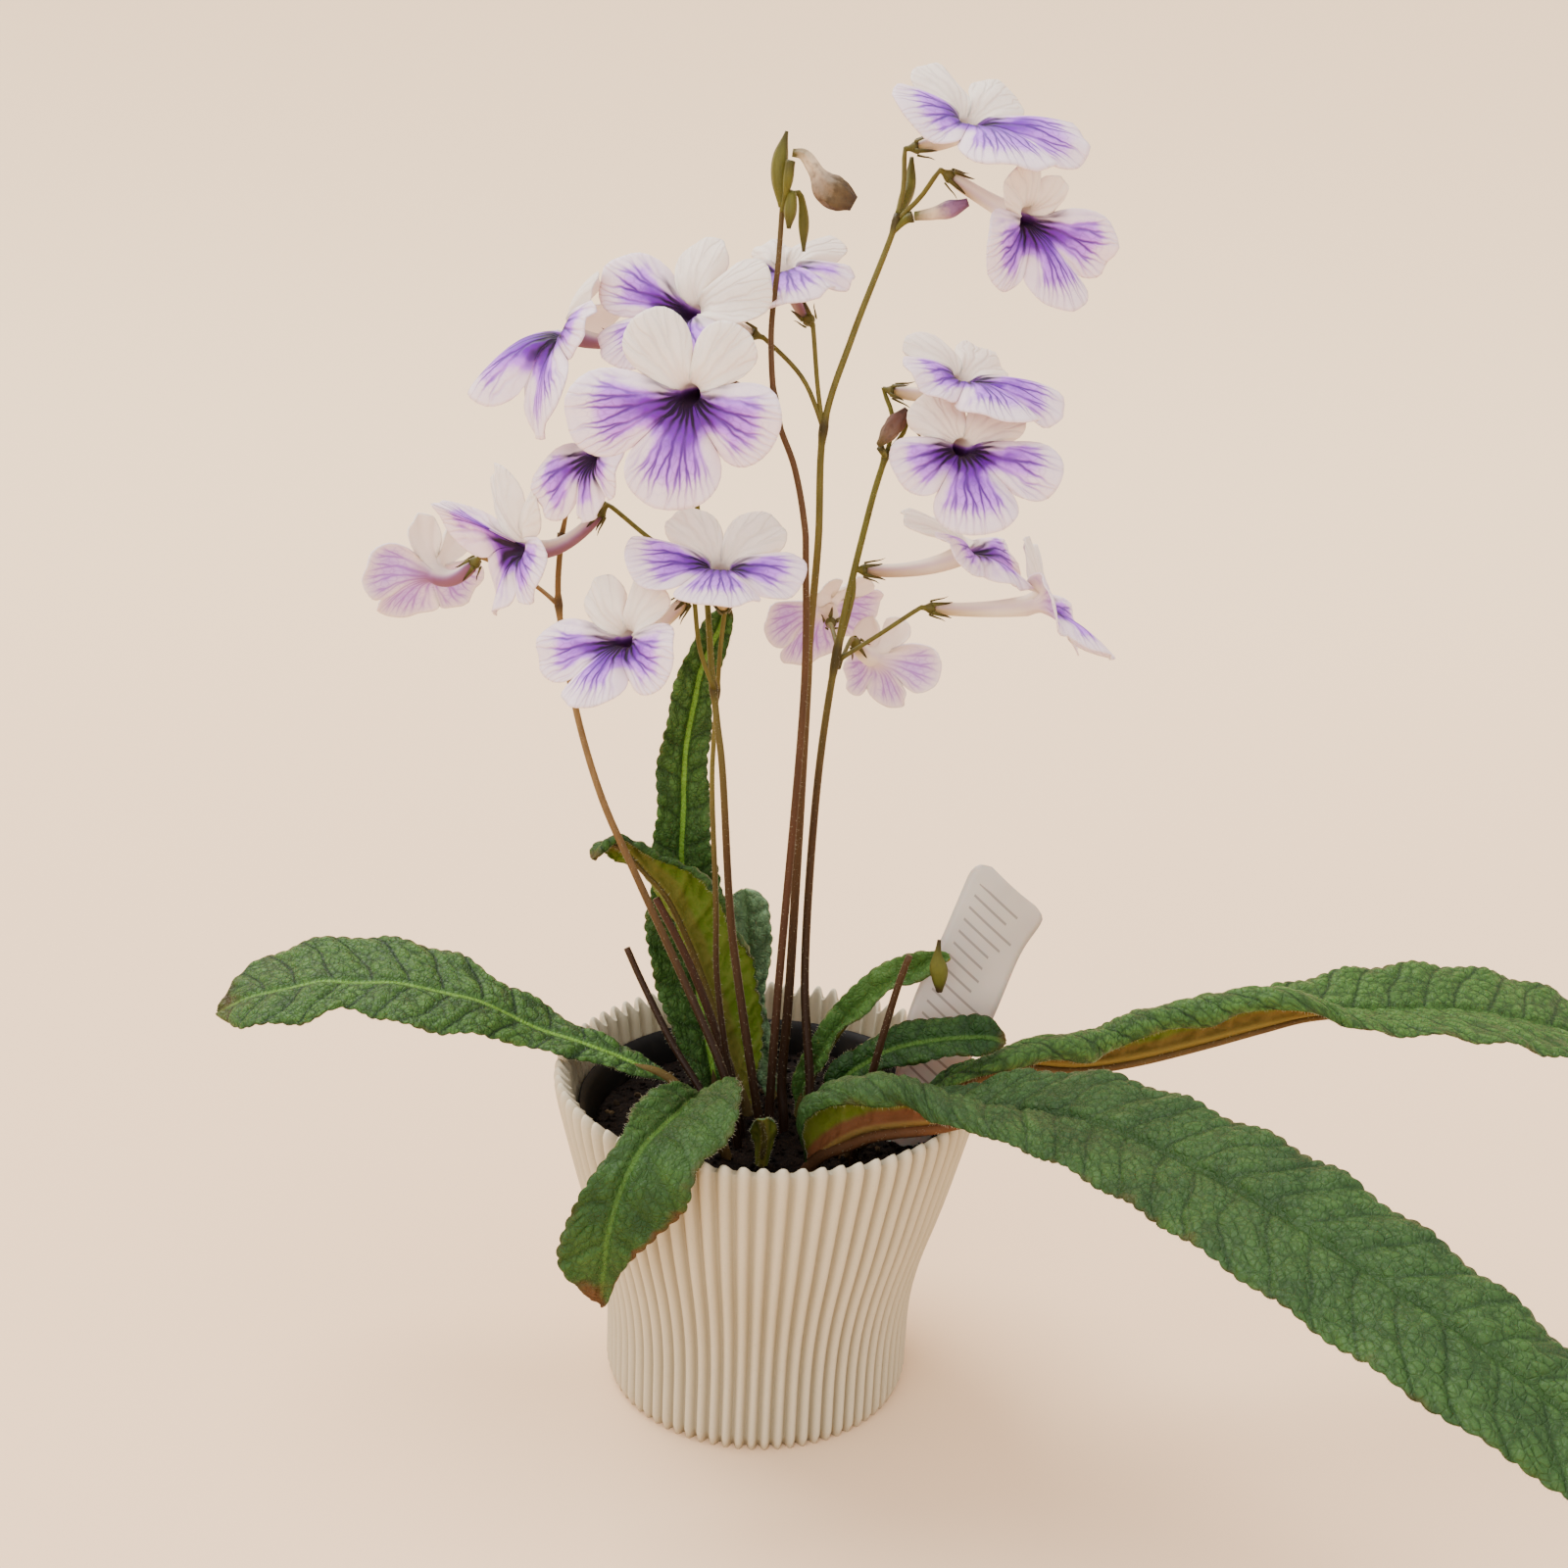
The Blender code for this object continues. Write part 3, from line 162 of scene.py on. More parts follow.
# Leaves' looks: how light their green is, their painted sheen of hairs, the rust of their underside,
# how brown their tip and their edge are, how plainly their pale midrib shows from above, painted dark
# as shade in its groove where it is less than nothing, and how dark the painted shade in their sunken veins
# is.
LEAF_TONES = {
    "leaf_left": (0.55, 0.0, 0.4, 0.5, 0.0, 0.9, 0.95), "leaf_tall": (0.5, 0.0, 0.3, 0.7, 0.1, 1.6, 0.7),
    # leaf_back's full tone and sheen are painted light on a leaf that lies in shade.
    "leaf_curled": (0.3, 0.0, 0.3, 0.6, 0.0, 0.3, 0.8), "leaf_back": (1.0, 1.0, 0.2, 0.0, 0.0, 0.2, 0.5),
    "leaf_front": (0.25, 0.0, 0.5, 1.0, 0.9, 0.3, 0.5),
    "leaf_right_front": (0.2, 0.06, 1.0, 0.3, 0.0, -0.7, 0.65),
    "leaf_right_back": (0.6, 0.0, 0.6, 0.2, 0.0, 0.0, 0.85),
    "leaf_upright": (0.6, 0.0, 0.1, 0.0, 0.0, 0.1, 0.3), "leaf_small": (0.1, 0.0, 0.3, 0.6, 0.0, 0.35, 0.7),
    "young_leaf": (0.6, 0.5, 0.2, 0.0, 0.0, 0.0, 0.5),
}

# Flowers: throat and calyx points, the way the face is turned (heading from the viewer, pitch,
# roll), then for the upper left, upper right, right, bottom and left lobes how far they bend
# forward, their angles off their even places and their lengths.
LOBE_ANGLES = (-32, 32, 98, 180, -98)
THROAT_RADIUS = 2.7
FLOWERS = {
    "flower_top_a": ((39, 8, 342), (27, 15, 336), (27, 41, 9), (-6, -6, 10, 25, 10),
                     (3, 12, 7, -14, -6), (20, 22, 30, 30, 24)),
    "flower_top_b": ((53.6, 5, 320), (35, 8, 329), (40, -14, -6), (10, 10, 24, 48, 24),
                     (-1, 12, 10, -12, -12), (17, 13, 26, 26, 24)),
    "flower_mid_a": ((-25, -32, 277), (-17, -12, 278), (-6, -5, 4), (-13, -13, 14, 17, 14),
                     (-9, 6, 2, 10, -8), (22, 20, 24, 27, 29)),
    "flower_mid_b": ((-27.4, -2, 295), (-12, 9, 290), (-37, 13, 35), (-16, -16, 24, 35, 24),
                     (-3, -8, 13, 8, -13), (20, 23, 25, 24, 24)),
    "flower_mid_c": ((-59.5, 2, 289.5), (-46, 11, 286.6), (-85, 28, -30), (-35, -9, -20, -19, 23),
                     (10, 0, 0, 3, -20), (21, 17, 18, 29, 32)),
    "flower_high": ((-5, 16, 307), (2, 8, 294), (-19, 52, -8), (-13, -13, -12, 11, -12),
                    (-2, 12, 4, -34, 16), (16, 19, 19, 24, 11)),
    "flower_left_a": ((-97.7, 33, 221.9), (-84.4, 21, 227.1), (-131, 20, -14), (18, 18, 6, 25, 6),
                      (4, -2, -2, 1, -3), (17, 17, 22, 21, 21)),
    "flower_left_b": ((-70.3, 11, 234.1), (-49.9, 11, 243.2), (-91, 24, -4), (41, 2, -28, -5, 78),
                      (2, -8, 4, 3, -2), (23, 24, 22, 20, 26)),
    "flower_left_c": ((-49, -13, 261.1), (-46.7, -1, 263.9), (-42, -9, -8), (-45, -50, 22, 21, 12),
                      (0, 1, 20, 1, -25), (14, 11, 17, 17, 23)),
    "flower_near_a": ((-17, -18, 236), (-16.5, -2, 222.5), (3, 44, 4), (-6, -6, 10, 32, 10),
                      (-7, 7, 3, -5, 3), (20, 21, 22, 25, 24)),
    "flower_near_b": ((-40, -22, 217), (-26, -10, 225), (-32, 10, -4), (-5, -5, 18, 43, 18),
                      (-2, -6, 6, 8, -7), (18, 18, 22, 23, 23)),
    "flower_right_a": ((41.8, 6, 282), (25, 18, 277), (33, 44, 12), (-13, -13, 9, 26, 9),
                       (-4, 14, 14, -10, -11), (19, 21, 27, 27, 21)),
    "flower_right_b": ((41.6, -4, 266), (31, 14, 270), (-2, 21, -2), (-21, -21, 1, 16, 1),
                       (-8, 20, 12, -18, -9), (19, 20, 26, 26, 19)),
    "flower_low_a": ((47, 12, 238), (20, 14, 231), (68, 37, 11), (-25, -25, 6, 26, 6),
                     (-4, 2, 0, 7, 0), (21, 18, 22, 20, 22)),
    "flower_low_b": ((66, 14, 224), (38, 12, 222), (76, 15, 18), (0, 0, 16, 44, 16),
                     (-1, -1, 9, 0, 0), (19, 19, 24, 25, 23)),
    "flower_back_a": ((10, 44, 215), (12, 32, 213), (216, 15, 1), (-33, -33, -1, 14, -1),
                      (0, -4, 2, 0, 3), (17, 17, 20, 22, 21)),
    "flower_back_b": ((25, 40, 202), (19, 30, 208), (137, -16, 12), (8, 8, 22, 39, 22),
                      (-8, 0, 10, 1, 1), (14, 14, 18, 17, 20)),
}

# How mauve a flower's tube is on its outside; the other tubes are cream.
TUBE_BLUSH = {"flower_left_a": 1.0, "flower_left_b": 0.95, "flower_mid_c": 0.95, "flower_high": 0.6,
              "flower_low_a": 0.35, "flower_left_c": 0.5, "flower_mid_b": 0.4}

# Stems: the main line with its radii at foot and tip, then side stalks; a stalk that bears a
# flower ends in that flower's calyx.
STEMS = {
    "stem_stub_left": dict(
        line=((-12, -9, 65), (-14, -7, 79), (-19, -2, 87), (-27.5, 4, 98), (-36.5, 10, 113),
              (-41, 12, 122)), radii=(1.8, 1.5)),
    "stem_stub_right": dict(
        line=((23, -20, 65), (24.5, -20, 79), (27.4, -20, 100), (29.8, -20, 112.5),
              (32.8, -20, 126.6), (35.5, -20, 136.4)), radii=(1.6, 1.2)),
    "stem_red": dict(
        line=((-10, -2, 65), (-10, 0, 79), (-10, 2, 88), (-14, 4, 99), (-23, 7, 120),
              (-33, 10, 138)), radii=(1.7, 1.3)),
    "stem_left": dict(
        line=((-6, -13, 65), (-8, -12, 79), (-12, -9, 95), (-24, -2, 119), (-38, 2, 147.5),
              (-48, 5, 168.5), (-56, 11, 192), (-61, 15, 218), (-60.5, 16, 237)),
        radii=(1.8, 1.1),
        stalks=((((-61, 15, 218), (-68, 20, 222), (-75.5, 23.5, 225.3)), "flower_left_a"),
                (((-60.5, 16, 236), (-57, 14, 249)), "flower_left_c"))),
    "stem_near_a": dict(
        line=((-5, -7, 65), (-7, -6, 79), (-11, -3, 94), (-15, 0, 119), (-16, 1, 140),
              (-18, 1, 172), (-18, 0, 186), (-17.4, -0.5, 202)),
        radii=(1.7, 1.0),
        stalks=((((-17.4, -0.5, 200), (-17, -1, 211)), "flower_near_a"),)),
    "stem_near_b": dict(
        line=((0, -16, 65), (-1, -14, 79), (-3, -13, 90), (-9, -10, 123), (-12, -9, 144),
              (-15, -9, 180), (-17, -8, 194), (-19, -5, 208), (-21, 2, 224), (-23.5, 4, 241),
              (-24.5, 2, 250), (-25, 0, 257)),
        radii=(1.8, 0.9),
        stalks=((((-18, -7, 202), (-22, -8, 213)), "flower_near_b"),
                (((-21.5, 3, 229), (-36, 5, 238)), "flower_left_b"))),
    "stem_mid": dict(
        line=((1.5, -10.5, 65), (1, -9, 79), (1, -7, 90), (2, -5, 122), (5, -4, 198),
              (4, -4, 235), (3, -4, 246), (0, -4, 259), (-5, -4, 272), (-7, -3, 290),
              (-6, -2, 307), (-5.5, -2, 322)),
        radii=(1.8, 0.9),
        stalks=((((-5, -4, 271), (-11, -6, 276)), "flower_mid_a"),
                (((-6, -4, 275), (-18, 4, 279), (-33, 10, 284)), "flower_mid_c")),
        buds=(((-5.5, -2, 320), 1.0, (-6.5, -2, 326), 1.9, (-6.5, -2, 331), 1.8, (-5.2, -2, 337), 0.4),
              ((-5, -2.5, 321), 0.8, (-3.5, -4.5, 323), 1.2, (-3.6, -5, 319), 1.5,
               (-3.8, -5, 315), 0.5),
              ((-5, -2, 321), 0.7, (-2, 0, 323.5), 0.8, (-0.6, 1, 319.5), 1.3, (0, 1, 310), 0.4),
              ((-5.5, -2, 319), 0.7, (-4.5, -6, 325), 0.7, (-4.1, -6.6, 329), 1.2,
               (-3.9, -6.6, 330.2), 1.1))),
    "stem_top": dict(
        line=((5.5, -5.5, 65), (5, -3, 79), (4, 0, 90), (5, 2, 119), (6, 4, 196), (6, 4, 214),
              (7, 4, 240), (7, 5, 268), (13, 9, 290), (21, 12, 313), (23, 13, 320)),
        radii=(1.9, 1.0),
        stalks=((((23, 13, 319), (24, 14, 327)), "flower_top_a"),
                (((22, 13, 318), (28, 11, 324)), "flower_top_b"),
                (((7, 5, 267), (5, 6, 278)), "flower_high"),
                (((7, 5, 268), (1, 7, 280)), "flower_mid_b")),
        buds=(((23, 13, 320), 0.9, (25.5, 18, 326), 1.6, (26, 20, 330), 1.5, (26, 20.6, 334), 0.5),
              ((22, 12.6, 316), 0.8, (25, 11.8, 318.8), 0.9, (26.6, 11.4, 319.5), 1.4))),
    "stem_right": dict(
        line=((10, -11, 65), (11, -7, 79), (11.8, -3, 90), (9, 4, 122), (10, 9, 173),
              (14, 12, 213), (20, 15, 246), (24, 17, 262)),
        radii=(1.8, 1.1),
        stalks=((((24, 17, 261), (25, 18, 270)), "flower_right_a"),
                (((24, 17, 261), (28, 16, 267)), "flower_right_b"),
                (((14, 12, 210), (17, 13, 224)), "flower_low_a"),
                (((14, 12, 207), (24, 12, 214)), "flower_low_b"),
                (((14, 12, 209), (12, 22, 214)), "flower_back_a"),
                (((14, 12, 205), (17, 21, 210)), "flower_back_b")),
        buds=(((23.5, 16.5, 260.5), 0.8, (22, 13.5, 262.8), 1.0),)),
}

# Stems' looks: the heights where brown begins to turn olive and is olive, how maroon and how dry it
# is, and how slim beside its table's radii.
STEM_LOOKS = {
    "stem_stub_left": (200, 300, 0.1, 0.5, 0.62), "stem_stub_right": (150, 260, 0.1, 0.3, 0.75),
    "stem_red": (300, 400, 0.8, 0.0, 0.8), "stem_left": (190, 225, 0.0, 0.85, 0.7),
    "stem_near_a": (120, 190, 0.0, 0.2, 0.6), "stem_near_b": (150, 230, 0.0, 0.0, 0.74),
    "stem_mid": (280, 330, 0.6, 0.0, 0.72), "stem_top": (180, 260, 0.1, 0.1, 0.76),
    "stem_right": (160, 240, 0.0, 0.0, 0.76),
}

# Buds and withered flowers of other colours: centre line points with their radii.
BUDS = {
    "bud_purple": ("bud_purple", ((27.1, 11.2, 319.7), 1.1, (31.5, 9.8, 320.4), 1.5,
                                  (36.5, 8.5, 322), 2.1, (39.6, 7.8, 323.4), 1.0)),
    "bud_withered": ("withered", ((21.5, 12.5, 263.6), 0.8, (23.2, 11.6, 266), 2.0,
                                  (26.2, 11.6, 270.5), 2.2, (28.2, 11.8, 273), 0.9)),
    "flower_withered": ("withered", ((-3.6, -6.7, 331.9), 0.9, (-0.5, -6.9, 331.2), 1.4,
                                     (4, -7, 325.2), 1.9, (7, -7, 323.2), 3.3,
                                     (9.8, -7, 322), 3.5, (11.4, -7, 321.2), 1.6)),
    "bud_fallen": ("bud", ((44, -9.6, 137), 0.5, (43.8, -10.5, 132), 1.0, (44.5, -11, 127.6), 2.3,
                           (44.8, -11, 124.5), 2.0, (44.9, -11, 122.8), 0.9)),
}

# The colours of each along its length.
BUD_COLOURS = {
    "bud_purple": ("#4E4C20", "#C8B090", "#84607C", "#5E3E58"),
    "bud_withered": ("#4C4420", "#6A5648", "#5A4038", "#3A2A24"),
    "flower_withered": ("#4C4420", "#C8B090", "#8A7660", "#54452F", "#3E3226"),
    "bud_fallen": ("#2A1C10", "#4A4816", "#55541C", "#4C4C17", "#30200F"),
}


# ---------------------------------------------------------------- lines, frames and sheets


def catmull(p0, p1, p2, p3, t):
    """One point of the smooth curve through four points."""
    return 0.5 * ((2 * p1) + (p2 - p0) * t + (2 * p0 - 5 * p1 + 4 * p2 - p3) * t * t
                  + (3 * p1 - p0 - 3 * p2 + p3) * t * t * t)


def smooth_line(points, count, start=0.0):
    """Evenly spaced points of the smooth curve, each with its place in the point list."""
    pts = [Vector(p) for p in points]
    ends = [2 * pts[0] - pts[1]] + pts + [2 * pts[-1] - pts[-2]]
    dense = []
    for i in range(len(pts) - 1):
        for k in range(12):
            t = k / 12
            if i + t >= start - 1e-6:
                dense.append((catmull(ends[i], ends[i + 1], ends[i + 2], ends[i + 3], t), i + t))
    dense.append((pts[-1], len(pts) - 1.0))
    run = [0.0]
    for a, b in zip(dense, dense[1:]):
        run.append(run[-1] + (b[0] - a[0]).length)
    out = []
    k = 0
    for i in range(count):
        goal = run[-1] * i / (count - 1)
        while k < len(run) - 2 and run[k + 1] < goal:
            k += 1
        f = (goal - run[k]) / (run[k + 1] - run[k])
        out.append((dense[k][0].lerp(dense[k + 1][0], f),
                    dense[k][1] + (dense[k + 1][1] - dense[k][1]) * f))
    return out


def line_length(points):
    """The length of a line of points."""
    return sum((Vector(b) - Vector(a)).length for a, b in zip(points, points[1:]))


def smooth_at(values, place):
    """A table's value between two points of the midrib, or the one value for all."""
    if not isinstance(values, tuple):
        return float(values)
    last = len(values) - 1
    i = min(int(place), last - 1)
    return catmull(values[max(i - 1, 0)], values[i], values[i + 1], values[min(i + 2, last)], place - i)


def tangents(points):
    """Unit directions along a line of points."""
    last = len(points) - 1
    return [(points[min(i + 1, last)] - points[max(i - 1, 0)]).normalized() for i in range(last + 1)]


def carried_frames(points, first):
    """The two directions across a line at each of its points, carried along without twist."""
    frames = []
    side = first
    for t in tangents(points):
        side = (side - side.dot(t) * t).normalized()
        frames.append((side, t.cross(side)))
    return frames


def ramp(value, low, high):
    """A soft step from 0 at low to 1 at high."""
    t = min(max((value - low) / (high - low), 0.0), 1.0)
    return t * t * (3 - 2 * t)


def add_sheet(bm, across, along, place, marks=()):
    """Add Blender's own grid to a mesh and move its points by place(u, v), u and v from 0 to 1.

    place gives the point in millimetres and then one number for each mark, which the
    materials read as an attribute.
    """
    layers = [bm.verts.layers.float[m] for m in marks]
    made = bmesh.ops.create_grid(bm, x_segments=across, y_segments=along, size=0.5)
    for vert in made["verts"]:
        point, *values = place(vert.co.x + 0.5, vert.co.y + 0.5)
        vert.co = point * MM
        for layer, value in zip(layers, values):
            vert[layer] = value
    for face in {f for vert in made["verts"] for f in vert.link_faces}:
        face.smooth = True


def add_tube(bm, line, radius, sides, rings, marks, values, flat=1.0, crinkle=None, side=(0.3, 1, 0.2)):
    """Add a closed round stalk along a line: radius(s) and values(s) follow the share s of its length.

    flat squashes it across, crinkle(s, w) puckers it at the angle w, and side is where w starts.
    """
    rings = rings or max(4, int(line_length(line) / 2.2))
    points = [p for p, place in smooth_line(line, rings + 1)]
    frames = carried_frames(points, (points[1] - points[0]).cross(Vector(side)))

    def place(u, v):
        i = max(min(int(round(v * (rings + 2))) - 1, rings), 0)
        a, b = frames[i]
        r = radius(i / rings) if 1e-6 < v < 1 - 1e-6 else 0.0
        w = 2 * math.pi * u
        if crinkle:
            r *= crinkle(i / rings, w)
        return (points[i] + a * (r * math.cos(w)) + b * (r * flat * math.sin(w)), *values(i / rings))

    add_sheet(bm, sides, rings + 2, place, marks)


def new_mesh(marks=()):
    """An empty bmesh with its marks' layers."""
    bm = bmesh.new()
    for mark in marks:
        bm.verts.layers.float.new(mark)
    return bm


def put_out(name, data, materials=()):
    """An object that holds this mesh, light or camera, put into the scene."""
    thing = bpy.data.objects.new(name, data)
    bpy.context.scene.collection.objects.link(thing)
    for material in materials:
        data.materials.append(material)
    return thing


def stand_in(piece, node):
    """Let a piece ride with the plant and stand for its CAD node."""
    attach(piece, "root")
    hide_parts(node)


def finish_piece(bm, name, node, materials, thickness=None):
    """Close a mesh's seams and make it the piece that stands for its CAD node.

    A sheet is given its thickness, with its first material on top and its second below.
    """
    bmesh.ops.remove_doubles(bm, verts=bm.verts[:], dist=0.000002)
    bmesh.ops.dissolve_degenerate(bm, edges=bm.edges[:], dist=0.000001)
    if thickness is None:
        bmesh.ops.recalc_face_normals(bm, faces=bm.faces[:])
    mesh = bpy.data.meshes.new(name)
    bm.to_mesh(mesh)
    bm.free()
    piece = put_out(name, mesh, materials)
    if thickness is not None:
        wall = piece.modifiers.new("thickness", "SOLIDIFY")
        wall.thickness = thickness
        wall.offset = 0.0
        wall.use_even_offset = False
        wall.material_offset = 1
        wall.material_offset_rim = 0
    stand_in(piece, node)


def add_copies(name, template, places, node, materials, shades=None):
    """A piece made of copies of one small closed shape, each placed by its own matrix."""
    template.verts.index_update()
    coords = np.array([v.co for v in template.verts])
    faces = [[v.index for v in f.verts] for f in template.faces]
    template.free()
    many = np.array([np.array(m) for m in places])
    count = len(coords)
    moved = np.einsum("nij,kj->nki", many[:, :3, :3], coords) + many[:, None, :3, 3]
    mesh = bpy.data.meshes.new(name)
    all_faces = [[i + n * count for i in f] for n in range(len(many)) for f in faces]
    mesh.from_pydata(moved.reshape(-1, 3).tolist(), [], all_faces)
    mesh.update()
    if shades is not None:
        layer = mesh.attributes.new("shade", "FLOAT", "POINT")
        layer.data.foreach_set("value", np.repeat(np.array(shades, np.float32), count))
    stand_in(put_out(name, mesh, materials), node)


def hair_template(width):
    """One hair: a three-sided spike 1 high."""
    bm = bmesh.new()
    bmesh.ops.create_cone(bm, cap_ends=True, segments=3, radius1=width, radius2=width * 0.1, depth=1.0)
    bmesh.ops.translate(bm, verts=bm.verts[:], vec=(0, 0, 0.5))
    return bm


def hair_matrix(root, direction, length):
    """The place of a hair that grows from a root point in millimetres."""
    turn = direction.to_track_quat("Z", "Y").to_matrix().to_4x4()
    return Matrix.Translation(root * MM) @ turn @ Matrix.Diagonal((1, 1, length * MM, 1))


# ---------------------------------------------------------------- materials

# How some kinds of node are always set here, and which of their outputs is the one in use.
USUAL_SETTINGS = {"Mix": {"data_type": "RGBA"}, "TexVoronoi": {"feature": "DISTANCE_TO_EDGE"}}
USUAL_RESULTS = {"Mix": 2, "Attribute": "Fac", "TexCoord": "Object"}
SOFT = {"interpolation_type": "SMOOTHSTEP"}      # a step without hard ends
FUZZ = {"Scale": 1500.0, "Detail": 2.0}          # short down, about 0.7 mm apart


def srgb(code):
    """A hex sRGB colour as linear red, green and blue."""
    channels = [int(code[i:i + 2], 16) / 255 for i in (1, 3, 5)]
    return tuple(c / 12.92 if c <= 0.04045 else ((c + 0.055) / 1.055) ** 2.4 for c in channels)


def opaque(colour):
    """A colour with full alpha."""
    return (*colour, 1.0)


def add(tree, kind, inputs=None, result=None, **settings):
    """Add a node with its settings and give its result, an output that other nodes take in.

    An input is another node's result, a number, a vector or a colour; a Mix node mixes colours.
    """
    node = tree.nodes.new("ShaderNode" + kind)
    for key, value in {**USUAL_SETTINGS.get(kind, {}), **settings}.items():
        setattr(node, key, value)
    for key, value in (inputs or {}).items():
        socket = node.inputs[key]
        if isinstance(value, bpy.types.NodeSocket):
            tree.links.new(value, socket)
        else:
            value = srgb(value) if isinstance(value, str) else value
            socket.default_value = opaque(value) if socket.type == "RGBA" else value
    return node.outputs[result or USUAL_RESULTS.get(kind, 0)]


def new_material(name, marks=(), **finish):
    """A material with constants for its finish, its tree, object coordinates and a mesh's marks."""
    mat = bpy.data.materials.new(name)
    mat.use_nodes = True
    tree = mat.node_tree
    for key, value in finish.items():
        tree.nodes["Principled BSDF"].inputs[key.replace("_", " ")].default_value = value
    marks = [add(tree, "Attribute", attribute_name=mark) for mark in marks]
    return (mat, tree, add(tree, "TexCoord"), *marks)


def dressed(mat, colour, height=None, strength=0.0, depth=0.0):
    """The material with its colour and, where it has one, its fine relief, so many metres deep."""
    tree = mat.node_tree
    shader = tree.nodes["Principled BSDF"]
    tree.links.new(colour, shader.inputs["Base Color"])
    if height:
        relief = add(tree, "Bump", {"Height": height, "Strength": strength, "Distance": depth})
        tree.links.new(relief, shader.inputs["Normal"])
    return mat


def leaf_top_material(looks):
    """Leaf skin, quilted and softly hairy: satin pads, a painted sheen of the hairs, painted shade in the
    sunken veins and in the gaps between the pads, and a pale midrib, painted dark as shade where it lies in a
    groove.
    """
    mat, tree, place, net, middle, tone, painted_sheen, brown, run, out, line, veined = new_material(
        "leaf_upper_skin", ("net", "middle", "tone", "painted_sheen", "brown", "run", "out", "line", "veined"),
        Roughness=0.45, Specular_IOR_Level=0.14, Subsurface_Weight=0.04, Subsurface_Scale=0.002)
    blotch = add(tree, "TexNoise", {"Vector": place, "Scale": 90.0, "Detail": 4.0})
    blotch = add(tree, "MapRange", {0: blotch, 1: 0.3, 2: 0.7, 3: -0.16, 4: 0.16})
    tone = add(tree, "Math", {0: tone, 1: blotch}, operation="ADD", use_clamp=True)
    body = add(tree, "Mix", {0: tone, 6: looks.green, 7: looks.light_green})
    # Painted sheen: a pale grey-green laid over the green stands in for the soft shine of the hairs.
    body = add(tree, "Mix", {0: painted_sheen, 6: body, 7: "#66825A"})
    flat = add(tree, "CombineXYZ", {"X": run, "Y": out})
    cells = add(tree, "TexVoronoi", {"Vector": flat, "Scale": 0.62})
    # Painted shade: the narrow gaps between the small pads and the sunken veins are darkened, as shade falls
    # in them.
    small = add(tree, "MapRange", {0: cells, 1: 0.0, 2: 0.16, 3: 0.4, 4: 0.0}, **SOFT)
    lines = add(tree, "Math", {0: net, 1: small}, operation="MAXIMUM")
    lines = add(tree, "Math", {0: lines, 1: veined}, operation="MULTIPLY")
    body = add(tree, "Mix", {0: lines, 6: body, 7: looks.vein_shade_green})
    pale = add(tree, "MapRange", {0: middle, 1: 0.3, 2: 0.9, 3: 1.0, 4: 0.0}, **SOFT)
    pale = add(tree, "Math", {0: pale, 1: line}, operation="MULTIPLY")
    body = add(tree, "Mix", {0: pale, 6: body, 7: looks.midrib})
    colour = add(tree, "Mix", {0: brown, 6: body, 7: "#4E3318"})
    fuzz = add(tree, "TexNoise", {"Vector": place, **FUZZ})
    height = add(tree, "Math", {0: small, 1: -1.8, 2: fuzz}, operation="MULTIPLY_ADD")
    return dressed(mat, colour, height, 0.6, 0.0005)


def leaf_under_material():
    """A leaf's underside: duller olive with paler raised veins, rusty and downy by the midrib."""
    mat, tree, place, net, middle, rust, brown = new_material(
        "leaf_lower_skin", ("net", "middle", "rust", "brown"), Roughness=0.7, Specular_IOR_Level=0.1,
        Subsurface_Weight=0.05, Subsurface_Scale=0.002)
    blotch = add(tree, "TexNoise", {"Vector": place, "Scale": 110.0, "Detail": 4.0})
    body = add(tree, "Mix", {0: rust, 6: "#3E5812", 7: "#5C6414"})
    veins = add(tree, "Math", {0: net, 1: 0.35}, operation="MULTIPLY")
    body = add(tree, "Mix", {0: veins, 6: body, 7: "#6E7030"})
    near = add(tree, "MapRange", {0: middle, 1: 0.8, 2: 6.0, 3: 1.1, 4: 0.0}, **SOFT)
    near = add(tree, "Math", {0: near, 1: blotch}, operation="ADD")
    near = add(tree, "MapRange", {0: near, 1: 0.55, 2: 1.15}, **SOFT)
    near = add(tree, "Math", {0: near, 1: rust}, operation="MULTIPLY")
    body = add(tree, "Mix", {0: near, 6: body, 7: "#6C4226"})
    line = add(tree, "MapRange", {0: middle, 1: 0.4, 2: 1.2, 3: 0.5, 4: 0.0}, **SOFT)
    body = add(tree, "Mix", {0: line, 6: body, 7: "#7A6A30"})
    colour = add(tree, "Mix", {0: brown, 6: body, 7: "#4E3318"})
    fuzz = add(tree, "TexNoise", {"Vector": place, **FUZZ})
    return dressed(mat, colour, fuzz, 0.5, 0.0004)


def rib_material():
    """A fleshy leaf stalk under short down: matt, brown at its foot and greener along the blade."""
    mat, tree, place, at, rust = new_material(
        "leaf_stalk", ("at", "rust"), Roughness=0.65, Specular_IOR_Level=0.12)
    blotch = add(tree, "TexNoise", {"Vector": place, "Scale": 160.0, "Detail": 3.0})
    young = add(tree, "Mix", {0: rust, 6: "#4C5620", 7: "#6C4226"})
    body = add(tree, "Mix", {0: blotch, 6: "#47301A", 7: young})
    low = add(tree, "MapRange", {0: at, 1: 0.02, 2: 0.2, 3: 0.8, 4: 0.0})
    colour = add(tree, "Mix", {0: low, 6: body, 7: "#2E1E10"})
    fuzz = add(tree, "TexNoise", {"Vector": place, **FUZZ})
    return dressed(mat, colour, fuzz, 0.5, 0.0004)


